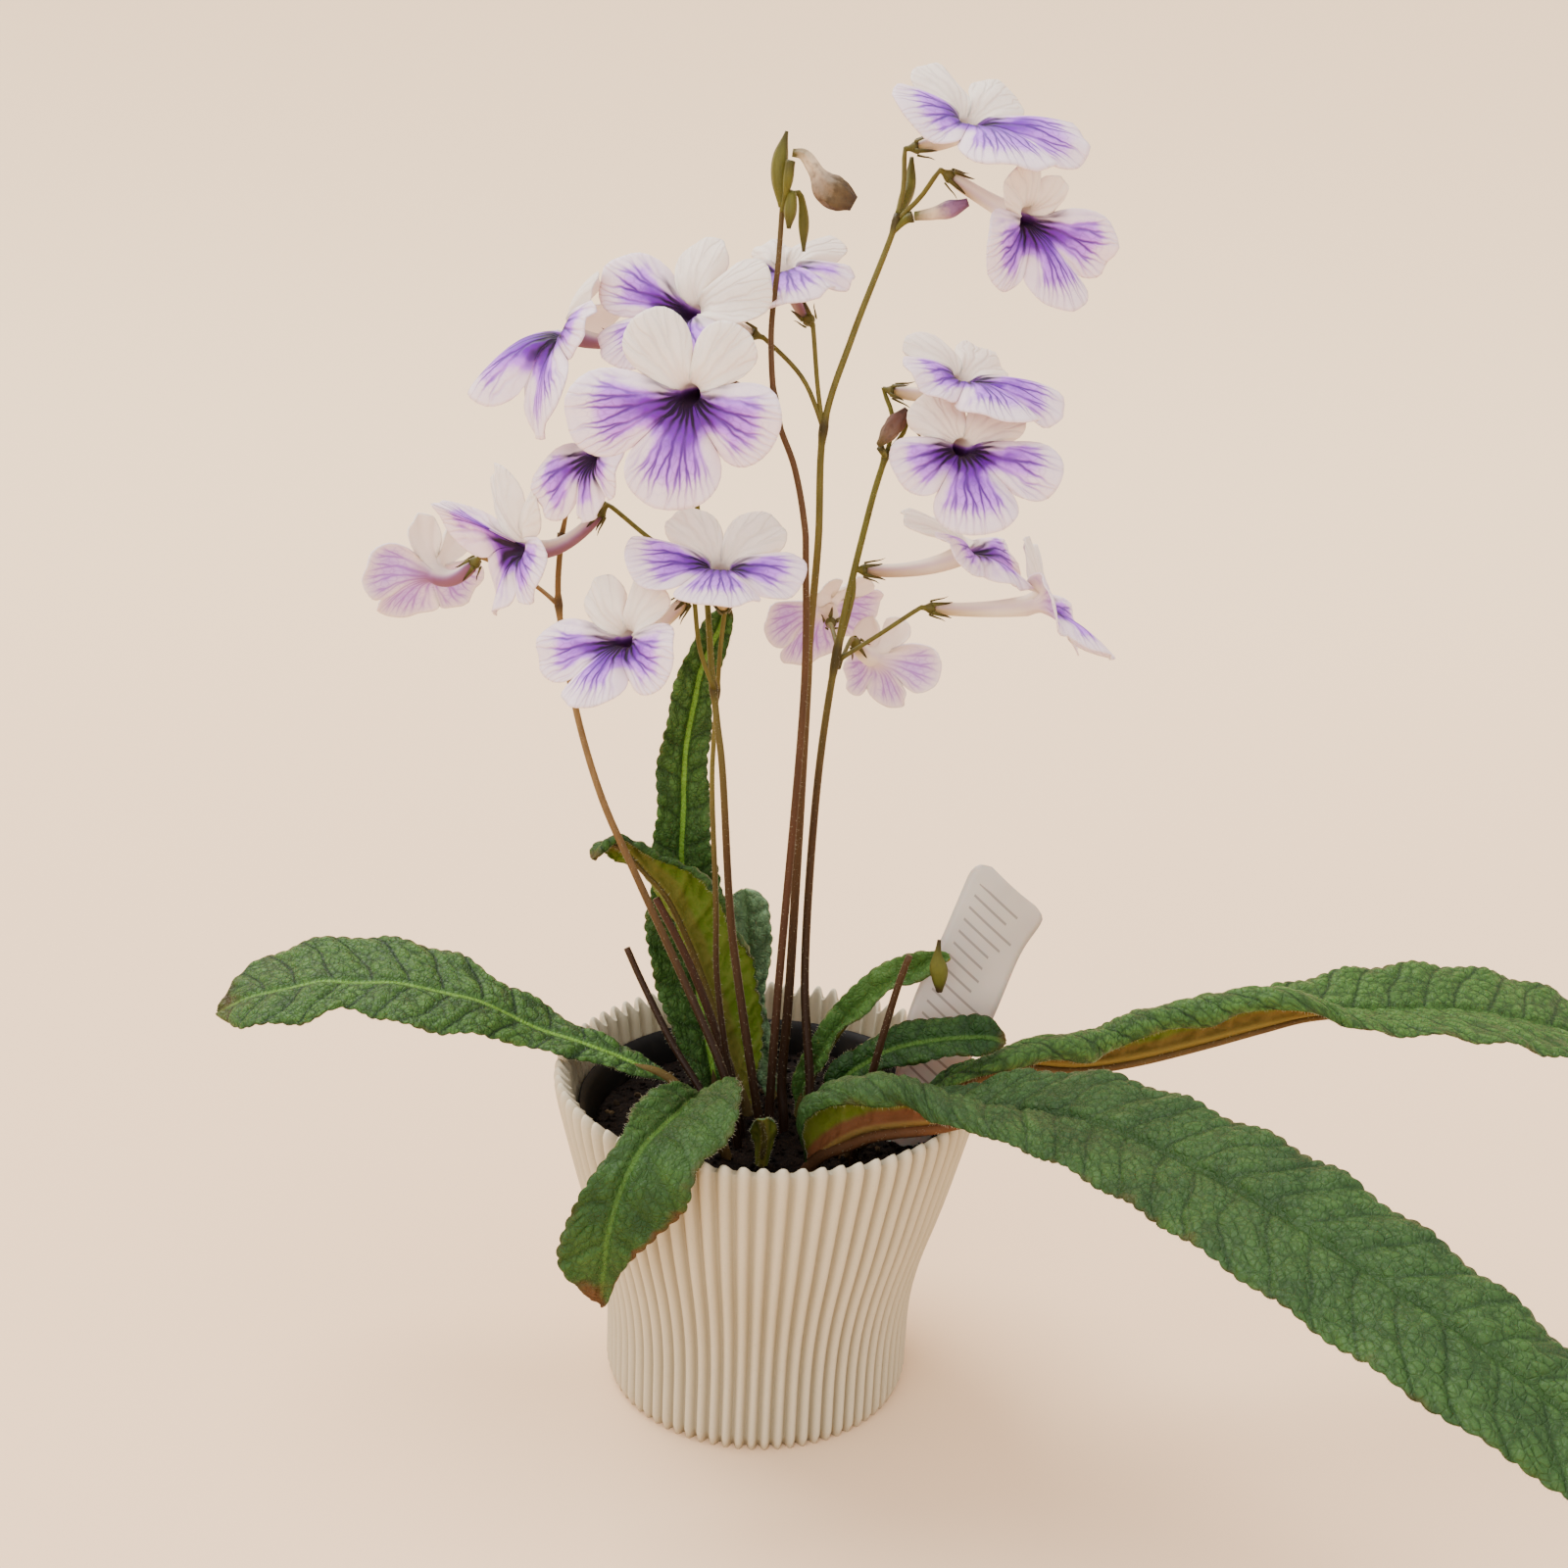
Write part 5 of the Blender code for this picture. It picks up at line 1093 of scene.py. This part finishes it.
def flower_tube_line(name):
    """The line of a flower's tube from its seat in the calyx to its throat."""
    throat, calyx, turn = (Vector(v) for v in FLOWERS[name][:3])
    knee = throat - flower_frame(turn)[0] * (0.45 * (throat - calyx).length)
    lead = (knee - calyx).normalized()
    return calyx, lead, knee, throat


def lobe_wedges(angles):
    """The five lobes' middle angles and the notches between them, in radians, going round."""
    lobes = [math.radians(a + d) for a, d in zip(LOBE_ANGLES, angles)]
    lobes[4] += 2 * math.pi
    notches = [(lobes[k] + lobes[k + 1]) / 2 for k in range(4)]
    notches.append((lobes[4] + lobes[0] + 2 * math.pi) / 2)
    return lobes, [notches[4] - 2 * math.pi] + notches


def build_corolla(name, looks, materials):
    """A flower's tube, which widens into its face of five round lobes, the lower three joined."""
    turn, bends, angles, lengths = FLOWERS[name][2:]
    f, u, r = flower_frame(turn)
    calyx, lead, knee, throat = flower_tube_line(name)
    lobes, notches = lobe_wedges(angles)
    bend = [math.radians(b) for b in bends]
    seat = calyx + lead * 0.35
    seed = sum(map(ord, name)) % 23
    tube_rows, face_rows, per_lobe = 12, looks.face_rows, looks.lobe_columns
    rows = tube_rows + face_rows
    joined = (0.14, 0.22, 0.5, 0.5, 0.22)
    blush = TUBE_BLUSH.get(name, 0.1)

    def column(u_share):
        k = min(int(u_share * 5 + 1e-6), 4)
        w = math.sin((u_share * 5 - k - 0.5) * math.pi)
        low = notches[k] if w < 0 else lobes[k]
        high = lobes[k] if w < 0 else notches[k + 1]
        angle = low + (high - low) * (1 + w if w < 0 else w)
        room = (lobes[k] - notches[k]) if w < 0 else (notches[k + 1] - lobes[k])
        nxt = (k + 1) % 5 if w > 0 else (k - 1) % 5
        mix = 0.5 * abs(w) ** 3
        tilt = bend[k] * (1 - mix) + bend[nxt] * mix
        share = joined[k] if w > 0 else joined[k - 1]
        notch = 3.4 + share * ((lengths[k] + lengths[nxt]) / 2 - 3.4)
        reach = notch + (lengths[k] - notch) * max(1 - abs(w) ** 2.4, 0.0) ** 0.5
        return k, w, angle, room, tilt, notch, reach

    def place(us, vs):
        row = int(round(vs * rows))
        k, w, angle, room, tilt, notch, reach = column(us)
        lower = 0.5 - 0.5 * math.cos(angle)
        if row <= tube_rows:
            s = row / tube_rows * 0.88
            rad = 1.0 + 0.5 * ramp(s, 0.0, 0.1) + 1.35 * s ** 1.6
            p = seat * (1 - s) ** 2 + knee * (2 * s * (1 - s)) + throat * s * s
            t = ((knee - seat) * (1 - s) + (throat - knee) * s).normalized()
            a = (u - u.dot(t) * t).normalized()
            b = a.cross(t)
            point = p + a * (rad * math.cos(angle)) + b * (rad * math.sin(angle))
            return (point, 0.0, 0.0, -1 + row / tube_rows, ramp(lower, 0.25, 0.8), 9.0, blush)
        s = (row - tube_rows) / face_rows
        d = u * math.cos(angle) + r * math.sin(angle)
        arch = math.radians(34)
        out, rise, steps = 0.0, 0.0, 8
        for n in range(steps):
            a = tilt + arch * (0.5 - s * (n + 0.5) / steps)
            out += math.cos(a) / steps
            rise += math.sin(a) / steps
        dist = THROAT_RADIUS + (reach - THROAT_RADIUS) * s
        deep = 2.6 * (1 - s) ** 6
        cup = 1.1 * w * w * ramp(dist, 5, 14)
        ruffle = looks.ruffle * math.sin(3.1 * w + 1.9 * k + seed) * math.sin(2.2 * k + seed + 5 * w) * s ** 2
        frill = 0.35 * looks.ruffle * math.sin(11 * w + 2.3 * k + seed) * s ** 4
        point = throat + d * (dist * out) + f * (dist * rise - deep - cup + ruffle + frill)
        aside = math.hypot(dist * room * (1 - abs(w)) * 1.15, max(notch - dist, 0.0))
        edge = min(reach - dist, aside)
        off = angle - lobes[k]
        low = 1.0 if k > 1 else 0.0
        if k in (2, 4):
            low *= ramp(lower + 0.03 * dist, 0.3, 0.75)
        return (point, dist * math.cos(off), dist * math.sin(off), s, low, edge, blush)

    marks = ("ahead", "aside", "reach", "lower", "edge", "blush")
    bm = new_mesh(marks)
    add_sheet(bm, 5 * per_lobe, rows, place, marks)
    finish_piece(bm, name + "_corolla", name, materials, looks.petal)


def sepal_path(calyx, lead, out, length):
    """The curve of a sepal that hugs the tube's base and turns out at its tip."""
    return [calyx + out * 1.9 - lead * 0.4, calyx + out * 2.5 + lead * length * 0.35,
            calyx + out * 2.9 + lead * length * 0.7, calyx + out * 3.6 + lead * length]


def add_calyx(bm, flower, marks):
    """A calyx: a small cup with five narrow pointed sepals, brown at their tips."""
    calyx, lead = flower_tube_line(flower)[:2]
    line = [calyx - lead * 3.2, calyx - lead * 2.0, calyx - lead * 0.9, calyx + lead * 0.2]
    add_tube(bm, line, lambda s: 0.7 + 0.95 * ramp(s, 0.2, 0.9), 12, 8, marks,
             lambda s: (0.9, 0.0, 1.0, 0.1 + 0.3 * s, 0.0))
    side = lead.orthogonal().normalized()
    for k in range(5):
        out = side.copy()
        out.rotate(Matrix.Rotation(2 * math.pi * (k + 0.3) / 5, 3, lead))
        length = 4.6 + 0.7 * math.sin(3 * k + calyx.x)
        add_tube(bm, sepal_path(calyx, lead, out, length), lambda s: 0.62 * (1 - s) ** 0.6 + 0.06, 6, 8,
                 marks, lambda s: (0.9, 0.0, 1.0, 0.25 + 0.7 * s, 0.0), flat=0.42, side=out)


# ---------------------------------------------------------------- stems


def build_stem(name, spec, materials):
    """A flower stem with its side stalks, calyces and green buds; returns its line and radius."""
    marks = ("green", "maroon", "high", "dark", "pale")
    bm = new_mesh(marks)
    r0, r1 = spec["radii"]
    low, full, maroon, pale, slim = STEM_LOOKS[name]
    line = [Vector(p) for p in spec["line"]]
    joints = [Vector(points[0]) for points, flower in spec.get("stalks", ())]
    rings = max(12, int(line_length(line) / 1.6))
    centres = [p for p, place in smooth_line(line, rings + 1)]

    def radius(s):
        near = min([(centres[int(round(s * rings))] - j).length for j in joints] or [99])
        return (r0 + (r1 - r0) * s) * slim + 0.35 * (1 - ramp(near, 0.5, 3.0))

    def tint(p, dark):
        return (ramp(p.z, low, full), maroon * ramp(p.z, 85, 150), (p.z - 72) / 215, dark,
                pale * ramp(p.z, 105, 200))

    def shade(s):
        p = centres[int(round(s * rings))]
        near = min([(p - j).length for j in joints] or [99])
        return tint(p, 0.7 * (1 - ramp(near, 0.8, 3.0)))

    add_tube(bm, line, radius, 12, rings, marks, shade)
    for points, flower in spec.get("stalks", ()):
        calyx, lead = flower_tube_line(flower)[:2]
        path = [Vector(p) for p in points] + [calyx - lead * 3.2, calyx - lead * 1.2]
        add_tube(bm, path, lambda s: 0.62 + 0.25 * (1 - ramp(s, 0.0, 0.12)), 10, None, marks,
                 lambda s: tint(path[0].lerp(path[-1], s), 0.5 * (1 - ramp(s, 0.0, 0.1))))
        add_calyx(bm, flower, marks)
    for bud in spec.get("buds", ()):
        sizes = bud[1::2]
        add_tube(bm, [Vector(p) for p in bud[0::2]],
                 lambda s: max(smooth_at(sizes, s * (len(sizes) - 1)), 0.3), 15, 16, marks,
                 lambda s: (1.0, 0.0, 1.0, 0.55 * ramp(s, 0.6, 1.0), 0.0),
                 crinkle=lambda s, w: 1 + 0.09 * math.cos(5 * w) * ramp(s, 0.1, 0.4))
    finish_piece(bm, name + "_stalk", name, materials)
    return centres, radius


def build_bud(name, slot, table, materials):
    """A loose bud or withered flower, pleated and puckered along its length."""
    bm = new_mesh(("at",))
    sizes = table[1::2]
    pleat = 0.12 if slot == "withered" else 0.05

    def crinkle(s, w):
        return 1 + pleat * math.cos(5 * w + 3 * s) + 0.5 * pleat * math.sin(9 * w - 14 * s)

    add_tube(bm, [Vector(p) for p in table[0::2]], lambda s: max(smooth_at(sizes, s * (len(sizes) - 1)), 0.3),
             28, 40, ("at",), lambda s: (s,), crinkle=crinkle)
    finish_piece(bm, name + "_bloom", name, materials)


# ---------------------------------------------------------------- pot, soil and tag


def profile_radius(profile, z):
    """A radius between two heights of a profile."""
    for (z0, r0), (z1, r1) in zip(profile, profile[1:]):
        if z <= z1:
            return r0 + (r1 - r0) * max(z - z0, 0) / (z1 - z0)
    return profile[-1][1]


def soft_profile(profile, z):
    """The profile's radius with its corners rounded over 14 mm."""
    return sum(profile_radius(profile, z + d) for d in (-7, -3.5, 0, 3.5, 7)) / 5


def round_point(rad, angle, z):
    """A point at a radius, an angle from the front and a height."""
    return Vector((rad * math.sin(angle), -rad * math.cos(angle), z))


def build_pot(looks, materials):
    """The cover pot: upright round ribs side by side, rounded over its rim and shown again inside."""
    outer, over, inner = 28, 12, 14
    rows = outer + over + inner
    top = POT_RIM - RIM_ROUND

    def place(u, v):
        row = int(round(v * rows))
        w = ((u * looks.ribs + 0.5) % 1.0) * 2 - 1
        groove = 1 - (0.5 - 0.5 * math.cos(math.pi * w)) ** 1.5
        if row <= outer:
            z = top * row / outer
            inset = FOOT_ROUND * (1 - ramp(z, 0.0, 3.0)) ** 2
            rad = soft_profile(POT_PROFILE, z) - RIB_DEPTH * (1 - groove) - inset
        elif row <= outer + over:
            turn = math.pi * (row - outer) / over
            inset = POT_WALL * (0.5 - 0.5 * math.cos(turn))
            rad = soft_profile(POT_PROFILE, top) - RIB_DEPTH * (1 - groove) - inset
            z = top + (RIM_ROUND - RIM_ROUND * (1 - groove)) * math.sin(turn) ** 0.8
        else:
            z = top + (POT_FLOOR - top) * (row - outer - over) / inner
            inset = 1.6 * (1 - ramp(z, POT_FLOOR, 45))
            rad = soft_profile(POT_PROFILE, z) - RIB_DEPTH * (1 - groove) - POT_WALL - inset
        return (round_point(rad, 2 * math.pi * u, z), groove)

    bm = new_mesh(("groove",))
    add_sheet(bm, looks.ribs * 10, rows, place, ("groove",))
    bmesh.ops.remove_doubles(bm, verts=bm.verts[:], dist=0.000002)
    rims = sorted({e for e in bm.edges if e.is_boundary}, key=lambda e: e.verts[0].co.z)
    bmesh.ops.holes_fill(bm, edges=rims, sides=0)
    finish_piece(bm, "cover_pot", "pot", materials)


def turned(bm, profile, sides, bump=lambda x, y, z: 0.0):
    """Turn a profile of (height, radius) pairs about the upright axis; bump raises its points."""
    last = len(profile) - 1

    def place(u, v):
        z, rad = profile[int(round(v * last))]
        point = round_point(rad, 2 * math.pi * u, z)
        point.z += bump(*point)
        return (point,)

    add_sheet(bm, sides, last, place)


def build_liner(materials):
    """The thin black pot the plant was grown in."""
    wall = 0.8
    rise = [(14 + 68 * k / 12, 34 + 16.8 * k / 12) for k in range(13)]
    outside = [(6.3, 0.0), (6.3, 20.0), (6.3, 31.8), (7.0, 32.6), *rise]
    rim = [(82.4, 52.1), (82.8, 52.35), (83.6, 52.35), (84.0, 52.1), (84.0, 51.7), (82.6, 50.6), (82.0, 50.0)]
    inside = [(z, rad - wall) for z, rad in rise[-2::-1]] + [(7.1, 31.7), (7.1, 20.0), (7.1, 0.0)]
    bm = new_mesh()
    turned(bm, outside + rim + inside, 96)
    finish_piece(bm, "grower_pot", "inner_pot", materials)


def soil_height(x, y):
    """The soil's uneven top at a point, in millimetres."""
    low = noise.noise(Vector((x / 14, y / 14, 3.1))) * 1.6
    fine = noise.noise(Vector((x / 2.6, y / 2.6, 7.7))) * 0.9
    return low + fine


def build_soil(looks, materials):
    """The potting soil: one closed body with a crumbled top, and loose crumbs on it."""
    side = [(7.45, 0.0), (7.45, 31.3), (14, 32.6), (44, 40.0), (70, 46.6), (74.5, 48.4)]
    top = [(SOIL_TOP, 48.0 * (1 - k / 44)) for k in range(1, 45)]
    bm = new_mesh()
    turned(bm, side + top, 220, lambda x, y, z: soil_height(x, y) if z > SOIL_TOP - 0.5 else 0.0)
    finish_piece(bm, "potting_soil", "soil", materials)
    rng = random.Random(5)
    places = []
    shades = []
    for n in range(looks.crumbs):
        rad = 47.5 * math.sqrt(rng.random())
        angle = rng.uniform(0, 2 * math.pi)
        x, y = rad * math.cos(angle), rad * math.sin(angle)
        size = rng.uniform(0.5, 1.7) * rng.uniform(0.6, 1.0)
        z = SOIL_TOP + soil_height(x, y) + size * 0.25
        spin = Matrix.Rotation(rng.uniform(0, 6.3), 4, Vector((rng.random(), rng.random(), 1)).normalized())
        grow = (size * MM, size * rng.uniform(0.4, 0.9) * MM, size * rng.uniform(0.4, 0.8) * MM, 1)
        places.append(Matrix.Translation(Vector((x, y, z)) * MM) @ spin @ Matrix.Diagonal(grow))
        shades.append(rng.random())
    template = bmesh.new()
    bmesh.ops.create_icosphere(template, subdivisions=1, radius=1.0)
    add_copies("soil_crumbs", template, places, "soil", materials, shades)


def build_tag(looks, materials):
    """The thin white tag, leaning back in the soil, a little bent, with plain printed rules."""
    rows, columns = 60, 12
    left, right = ([p for p, at in smooth_line([(x, 0, z) for x, z in side], rows + 1)]
                   for side in (TAG_LEFT, TAG_RIGHT))

    def place(u, v):
        i = int(round(v * rows))
        point = left[i].lerp(right[i], u)
        point.y = TAG_FOOT_Y + (point.z - 64) * TAG_LEAN - 0.9 * math.sin(math.pi * u)
        return (point, u, v)

    bm = new_mesh(("across", "along"))
    add_sheet(bm, columns, rows, place, ("across", "along"))
    finish_piece(bm, "plant_tag", "tag", materials, looks.tag_thick * MM)


# ---------------------------------------------------------------- settings, operators and panel

PLANT_FINISHES = {}      # filled when the first piece asks for one


def finish_of(key):
    """A material of the plant, made once and shared by its pieces."""
    if key not in PLANT_FINISHES:
        scene = bpy.context.scene
        PLANT_FINISHES.update({
            "leaf_top": leaf_top_material(scene.cape_leaves),
            "leaf_under": leaf_under_material(),
            "rib": rib_material(),
            "petal_face": petal_face_material(scene.cape_flowers),
            "petal_back": petal_back_material(scene.cape_flowers),
            "stem": stem_material(scene.cape_stems),
            "hair": hair_material(),
        })
    return PLANT_FINISHES[key]


class CapePot(bpy.types.PropertyGroup):
    """Sizes and colours of the pot."""
    ribs: bpy.props.IntProperty(name="Ribs", description="Round ribs round the pot", default=POT_RIBS)
    clay: bpy.props.FloatVectorProperty(
        name="Clay", description="Colour of the pot's matt clay", subtype="COLOR", default=srgb("#BCAF92"))


class CapeSoil(bpy.types.PropertyGroup):
    """Sizes and colours of the soil and the tag."""
    crumbs: bpy.props.IntProperty(name="Crumbs", description="Loose crumbs on the soil", default=900)
    peat: bpy.props.FloatVectorProperty(
        name="Peat", description="Colour of the damp peat", subtype="COLOR", default=srgb("#1C1108"))
    tag_thick: bpy.props.FloatProperty(
        name="Tag thickness", description="Thickness of the tag, in millimetres", default=0.8)


class CapeLeaves(bpy.types.PropertyGroup):
    """Sizes and colours of the leaves."""
    grain: bpy.props.FloatProperty(
        name="Grain", description="Side of one face of a blade, in millimetres", default=0.62)
    thickness: bpy.props.FloatProperty(
        name="Thickness", description="Thickness of a blade", default=0.0006, unit="LENGTH")
    quilt: bpy.props.FloatProperty(
        name="Quilt", description="Height of the pads between the veins, in millimetres", default=1.15)
    pad: bpy.props.FloatProperty(
        name="Pad", description="Width of the small pads, in millimetres", default=3.6)
    vein_gap: bpy.props.FloatProperty(
        name="Vein gap", description="Distance between side veins, in millimetres", default=10.5)
    scallop: bpy.props.FloatProperty(
        name="Scallop", description="Length of one scallop of the edge, in millimetres", default=3.6)
    wave: bpy.props.FloatProperty(
        name="Wave", description="Height of the edge's slow waves, in millimetres", default=1.0)
    hair: bpy.props.FloatProperty(
        name="Hair", description="Length of the leaves' hairs, in millimetres", default=0.9)
    green: bpy.props.FloatVectorProperty(
        name="Green", description="Colour of an old blade", subtype="COLOR", default=srgb("#1C3610"))
    light_green: bpy.props.FloatVectorProperty(
        name="Light green", description="Colour of a young blade", subtype="COLOR", default=srgb("#4E7030"))
    # Painted shade: the dark green laid in a blade's sunken veins and in the gaps between its pads.
    vein_shade_green: bpy.props.FloatVectorProperty(
        name="Vein green", description="Colour in a blade's sunken veins", subtype="COLOR",
        default=srgb("#0E2008"))
    midrib: bpy.props.FloatVectorProperty(
        name="Midrib", description="Colour of the midrib seen from above", subtype="COLOR",
        default=srgb("#6A9030"))


class CapeFlowers(bpy.types.PropertyGroup):
    """Sizes and colours of the flowers."""
    petal: bpy.props.FloatProperty(
        name="Petal", description="Thickness of a petal", default=0.0004, unit="LENGTH")
    face_rows: bpy.props.IntProperty(name="Face rows", description="Faces from throat to edge", default=22)
    lobe_columns: bpy.props.IntProperty(name="Lobe columns", description="Faces across a lobe", default=20)
    ruffle: bpy.props.FloatProperty(
        name="Ruffle", description="Height of the edge's ruffle, in millimetres", default=1.1)
    white: bpy.props.FloatVectorProperty(
        name="White", description="Colour of the petals' ground", subtype="COLOR", default=srgb("#EAD9C8"))
    lilac: bpy.props.FloatVectorProperty(
        name="Lilac", description="Colour of the wash between the veins", subtype="COLOR",
        default=srgb("#B670E4"))
    violet: bpy.props.FloatVectorProperty(
        name="Violet", description="Colour of the wash near the throat", subtype="COLOR",
        default=srgb("#6404A0"))
    vein: bpy.props.FloatVectorProperty(
        name="Vein", description="Colour of the veins", subtype="COLOR", default=srgb("#420874"))
    throat: bpy.props.FloatVectorProperty(
        name="Throat", description="Colour of the throat's dark mark", subtype="COLOR",
        default=srgb("#17021F"))


class CapeStems(bpy.types.PropertyGroup):
    """Colours of the stems."""
    olive: bpy.props.FloatVectorProperty(
        name="Olive", description="Colour of a stem's green upper end", subtype="COLOR",
        default=srgb("#5C5A22"))
    maroon: bpy.props.FloatVectorProperty(
        name="Maroon", description="Colour of a stem that has reddened", subtype="COLOR",
        default=srgb("#482A1C"))
    tan: bpy.props.FloatVectorProperty(
        name="Tan", description="Colour of a stem that has dried", subtype="COLOR",
        default=srgb("#84663C"))
    hair: bpy.props.FloatProperty(
        name="Hair", description="Length of the stems' hairs, in millimetres", default=0.7)


class CapeStage(bpy.types.PropertyGroup):
    """The floor, the lights and the camera."""
    floor: bpy.props.FloatVectorProperty(
        name="Floor", description="Colour of the pale floor", subtype="COLOR", default=srgb("#EECAA2"))
    # The backdrop colour is painted light: lighter than the floor to even out the weaker light on the sweep.
    backdrop: bpy.props.FloatVectorProperty(
        name="Backdrop", description="Colour of the board far behind", subtype="COLOR",
        default=srgb("#FFDFB4"))
    key: bpy.props.FloatProperty(name="Key", description="Strength of the broad light", default=3.9)
    fill: bpy.props.FloatProperty(name="Fill", description="Power of the front fill", default=26.0)
    room: bpy.props.FloatProperty(name="Room", description="Brightness of the room", default=1.85)
    lens: bpy.props.FloatProperty(name="Lens", description="Focal length", default=38.95, unit="CAMERA")


class MESH_OT_cape_pot(bpy.types.Operator):
    """The ribbed cover pot and the thin pot inside it"""
    bl_idname = "mesh.cape_pot"
    bl_label = "Pot"

    def execute(self, context):
        looks = context.scene.cape_pot
        build_pot(looks, [clay_material(looks)])
        build_liner([black_plastic_material()])
        return {"FINISHED"}


class MESH_OT_cape_soil(bpy.types.Operator):
    """The soil with its crumbs, and the tag that stands in it"""
    bl_idname = "mesh.cape_soil"
    bl_label = "Soil and tag"

    def execute(self, context):
        looks = context.scene.cape_soil
        build_soil(looks, [soil_material(looks)])
        build_tag(looks, [tag_material()])
        return {"FINISHED"}


class MESH_OT_cape_leaves(bpy.types.Operator):
    """The leaves: blade, midrib and hairs"""
    bl_idname = "mesh.cape_leaves"
    bl_label = "Leaves"

    def execute(self, context):
        looks = context.scene.cape_leaves
        rng = random.Random(11)
        for name, spec in LEAVES.items():
            edge = build_blade(name, spec, looks, [finish_of("leaf_top"), finish_of("leaf_under")])
            path, radius = build_rib(name, spec, [finish_of("rib")])
            roots = [(q, out + normal * rng.uniform(-0.5, 0.5)) for q, out, normal in edge]
            roots += tube_roots(path, radius, 0.35, rng, 0.08, 0.97)
            build_down(name, roots, looks.hair, rng, [finish_of("hair")])
        return {"FINISHED"}


class MESH_OT_cape_stems(bpy.types.Operator):
    """The flower stems with their stalks, calyces and buds"""
    bl_idname = "mesh.cape_stems"
    bl_label = "Stems"

    def execute(self, context):
        looks = context.scene.cape_stems
        rng = random.Random(23)
        for name, spec in STEMS.items():
            path, radius = build_stem(name, spec, [finish_of("stem")])
            roots = tube_roots(path, radius, 0.3, rng, 0.1, 0.97)
            build_down(name, roots, looks.hair, rng, [finish_of("hair")], 0.00004)
        for name, (slot, table) in BUDS.items():
            build_bud(name, slot, table, [bud_material(name, BUD_COLOURS[name])])
        return {"FINISHED"}


class MESH_OT_cape_flowers(bpy.types.Operator):
    """The flowers"""
    bl_idname = "mesh.cape_flowers"
    bl_label = "Flowers"

    def execute(self, context):
        looks = context.scene.cape_flowers
        for name in FLOWERS:
            build_corolla(name, looks, [finish_of("petal_face"), finish_of("petal_back")])
        return {"FINISHED"}


class MESH_OT_cape_stage(bpy.types.Operator):
    """The pale floor with its sweep, the soft lights and the camera"""
    bl_idname = "mesh.cape_stage"
    bl_label = "Stage"

    def execute(self, context):
        build_stage(context.scene.cape_stage)
        return {"FINISHED"}


class VIEW3D_PT_cape_primrose(bpy.types.Panel):
    """The cape primrose's pieces and their settings"""
    bl_idname = "VIEW3D_PT_cape_primrose"
    bl_label = "Cape primrose"
    bl_space_type = "VIEW_3D"
    bl_region_type = "UI"
    bl_category = "Cape primrose"

    def draw(self, context):
        for operator, group in STEPS:
            box = self.layout.box()
            box.operator(operator)
            if group:
                settings = getattr(context.scene, group)
                for key in settings.bl_rna.properties.keys():
                    if key not in ("rna_type", "name"):
                        box.prop(settings, key)


GROUPS = {"cape_pot": CapePot, "cape_soil": CapeSoil, "cape_leaves": CapeLeaves,
          "cape_stems": CapeStems, "cape_flowers": CapeFlowers, "cape_stage": CapeStage}
OPERATORS = (MESH_OT_cape_pot, MESH_OT_cape_soil, MESH_OT_cape_leaves, MESH_OT_cape_stems,
             MESH_OT_cape_flowers, MESH_OT_cape_stage)
STEPS = tuple((c.bl_idname, c.bl_idname.split(".")[1]) for c in OPERATORS)


def register():
    """Register the settings, the operators and the panel."""
    for key, group in GROUPS.items():
        bpy.utils.register_class(group)
        setattr(bpy.types.Scene, key, bpy.props.PointerProperty(type=group))
    for cls in (*OPERATORS, VIEW3D_PT_cape_primrose):
        bpy.utils.register_class(cls)


def unregister():
    """Take everything away again."""
    for cls in (VIEW3D_PT_cape_primrose, *reversed(OPERATORS)):
        bpy.utils.unregister_class(cls)
    for key, group in GROUPS.items():
        delattr(bpy.types.Scene, key)
        bpy.utils.unregister_class(group)


def main():
    """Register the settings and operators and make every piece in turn."""
    register()
    for cls in OPERATORS:
        space, call = cls.bl_idname.split(".")
        getattr(getattr(bpy.ops, space), call)()


if __name__ == "__main__":
    main()
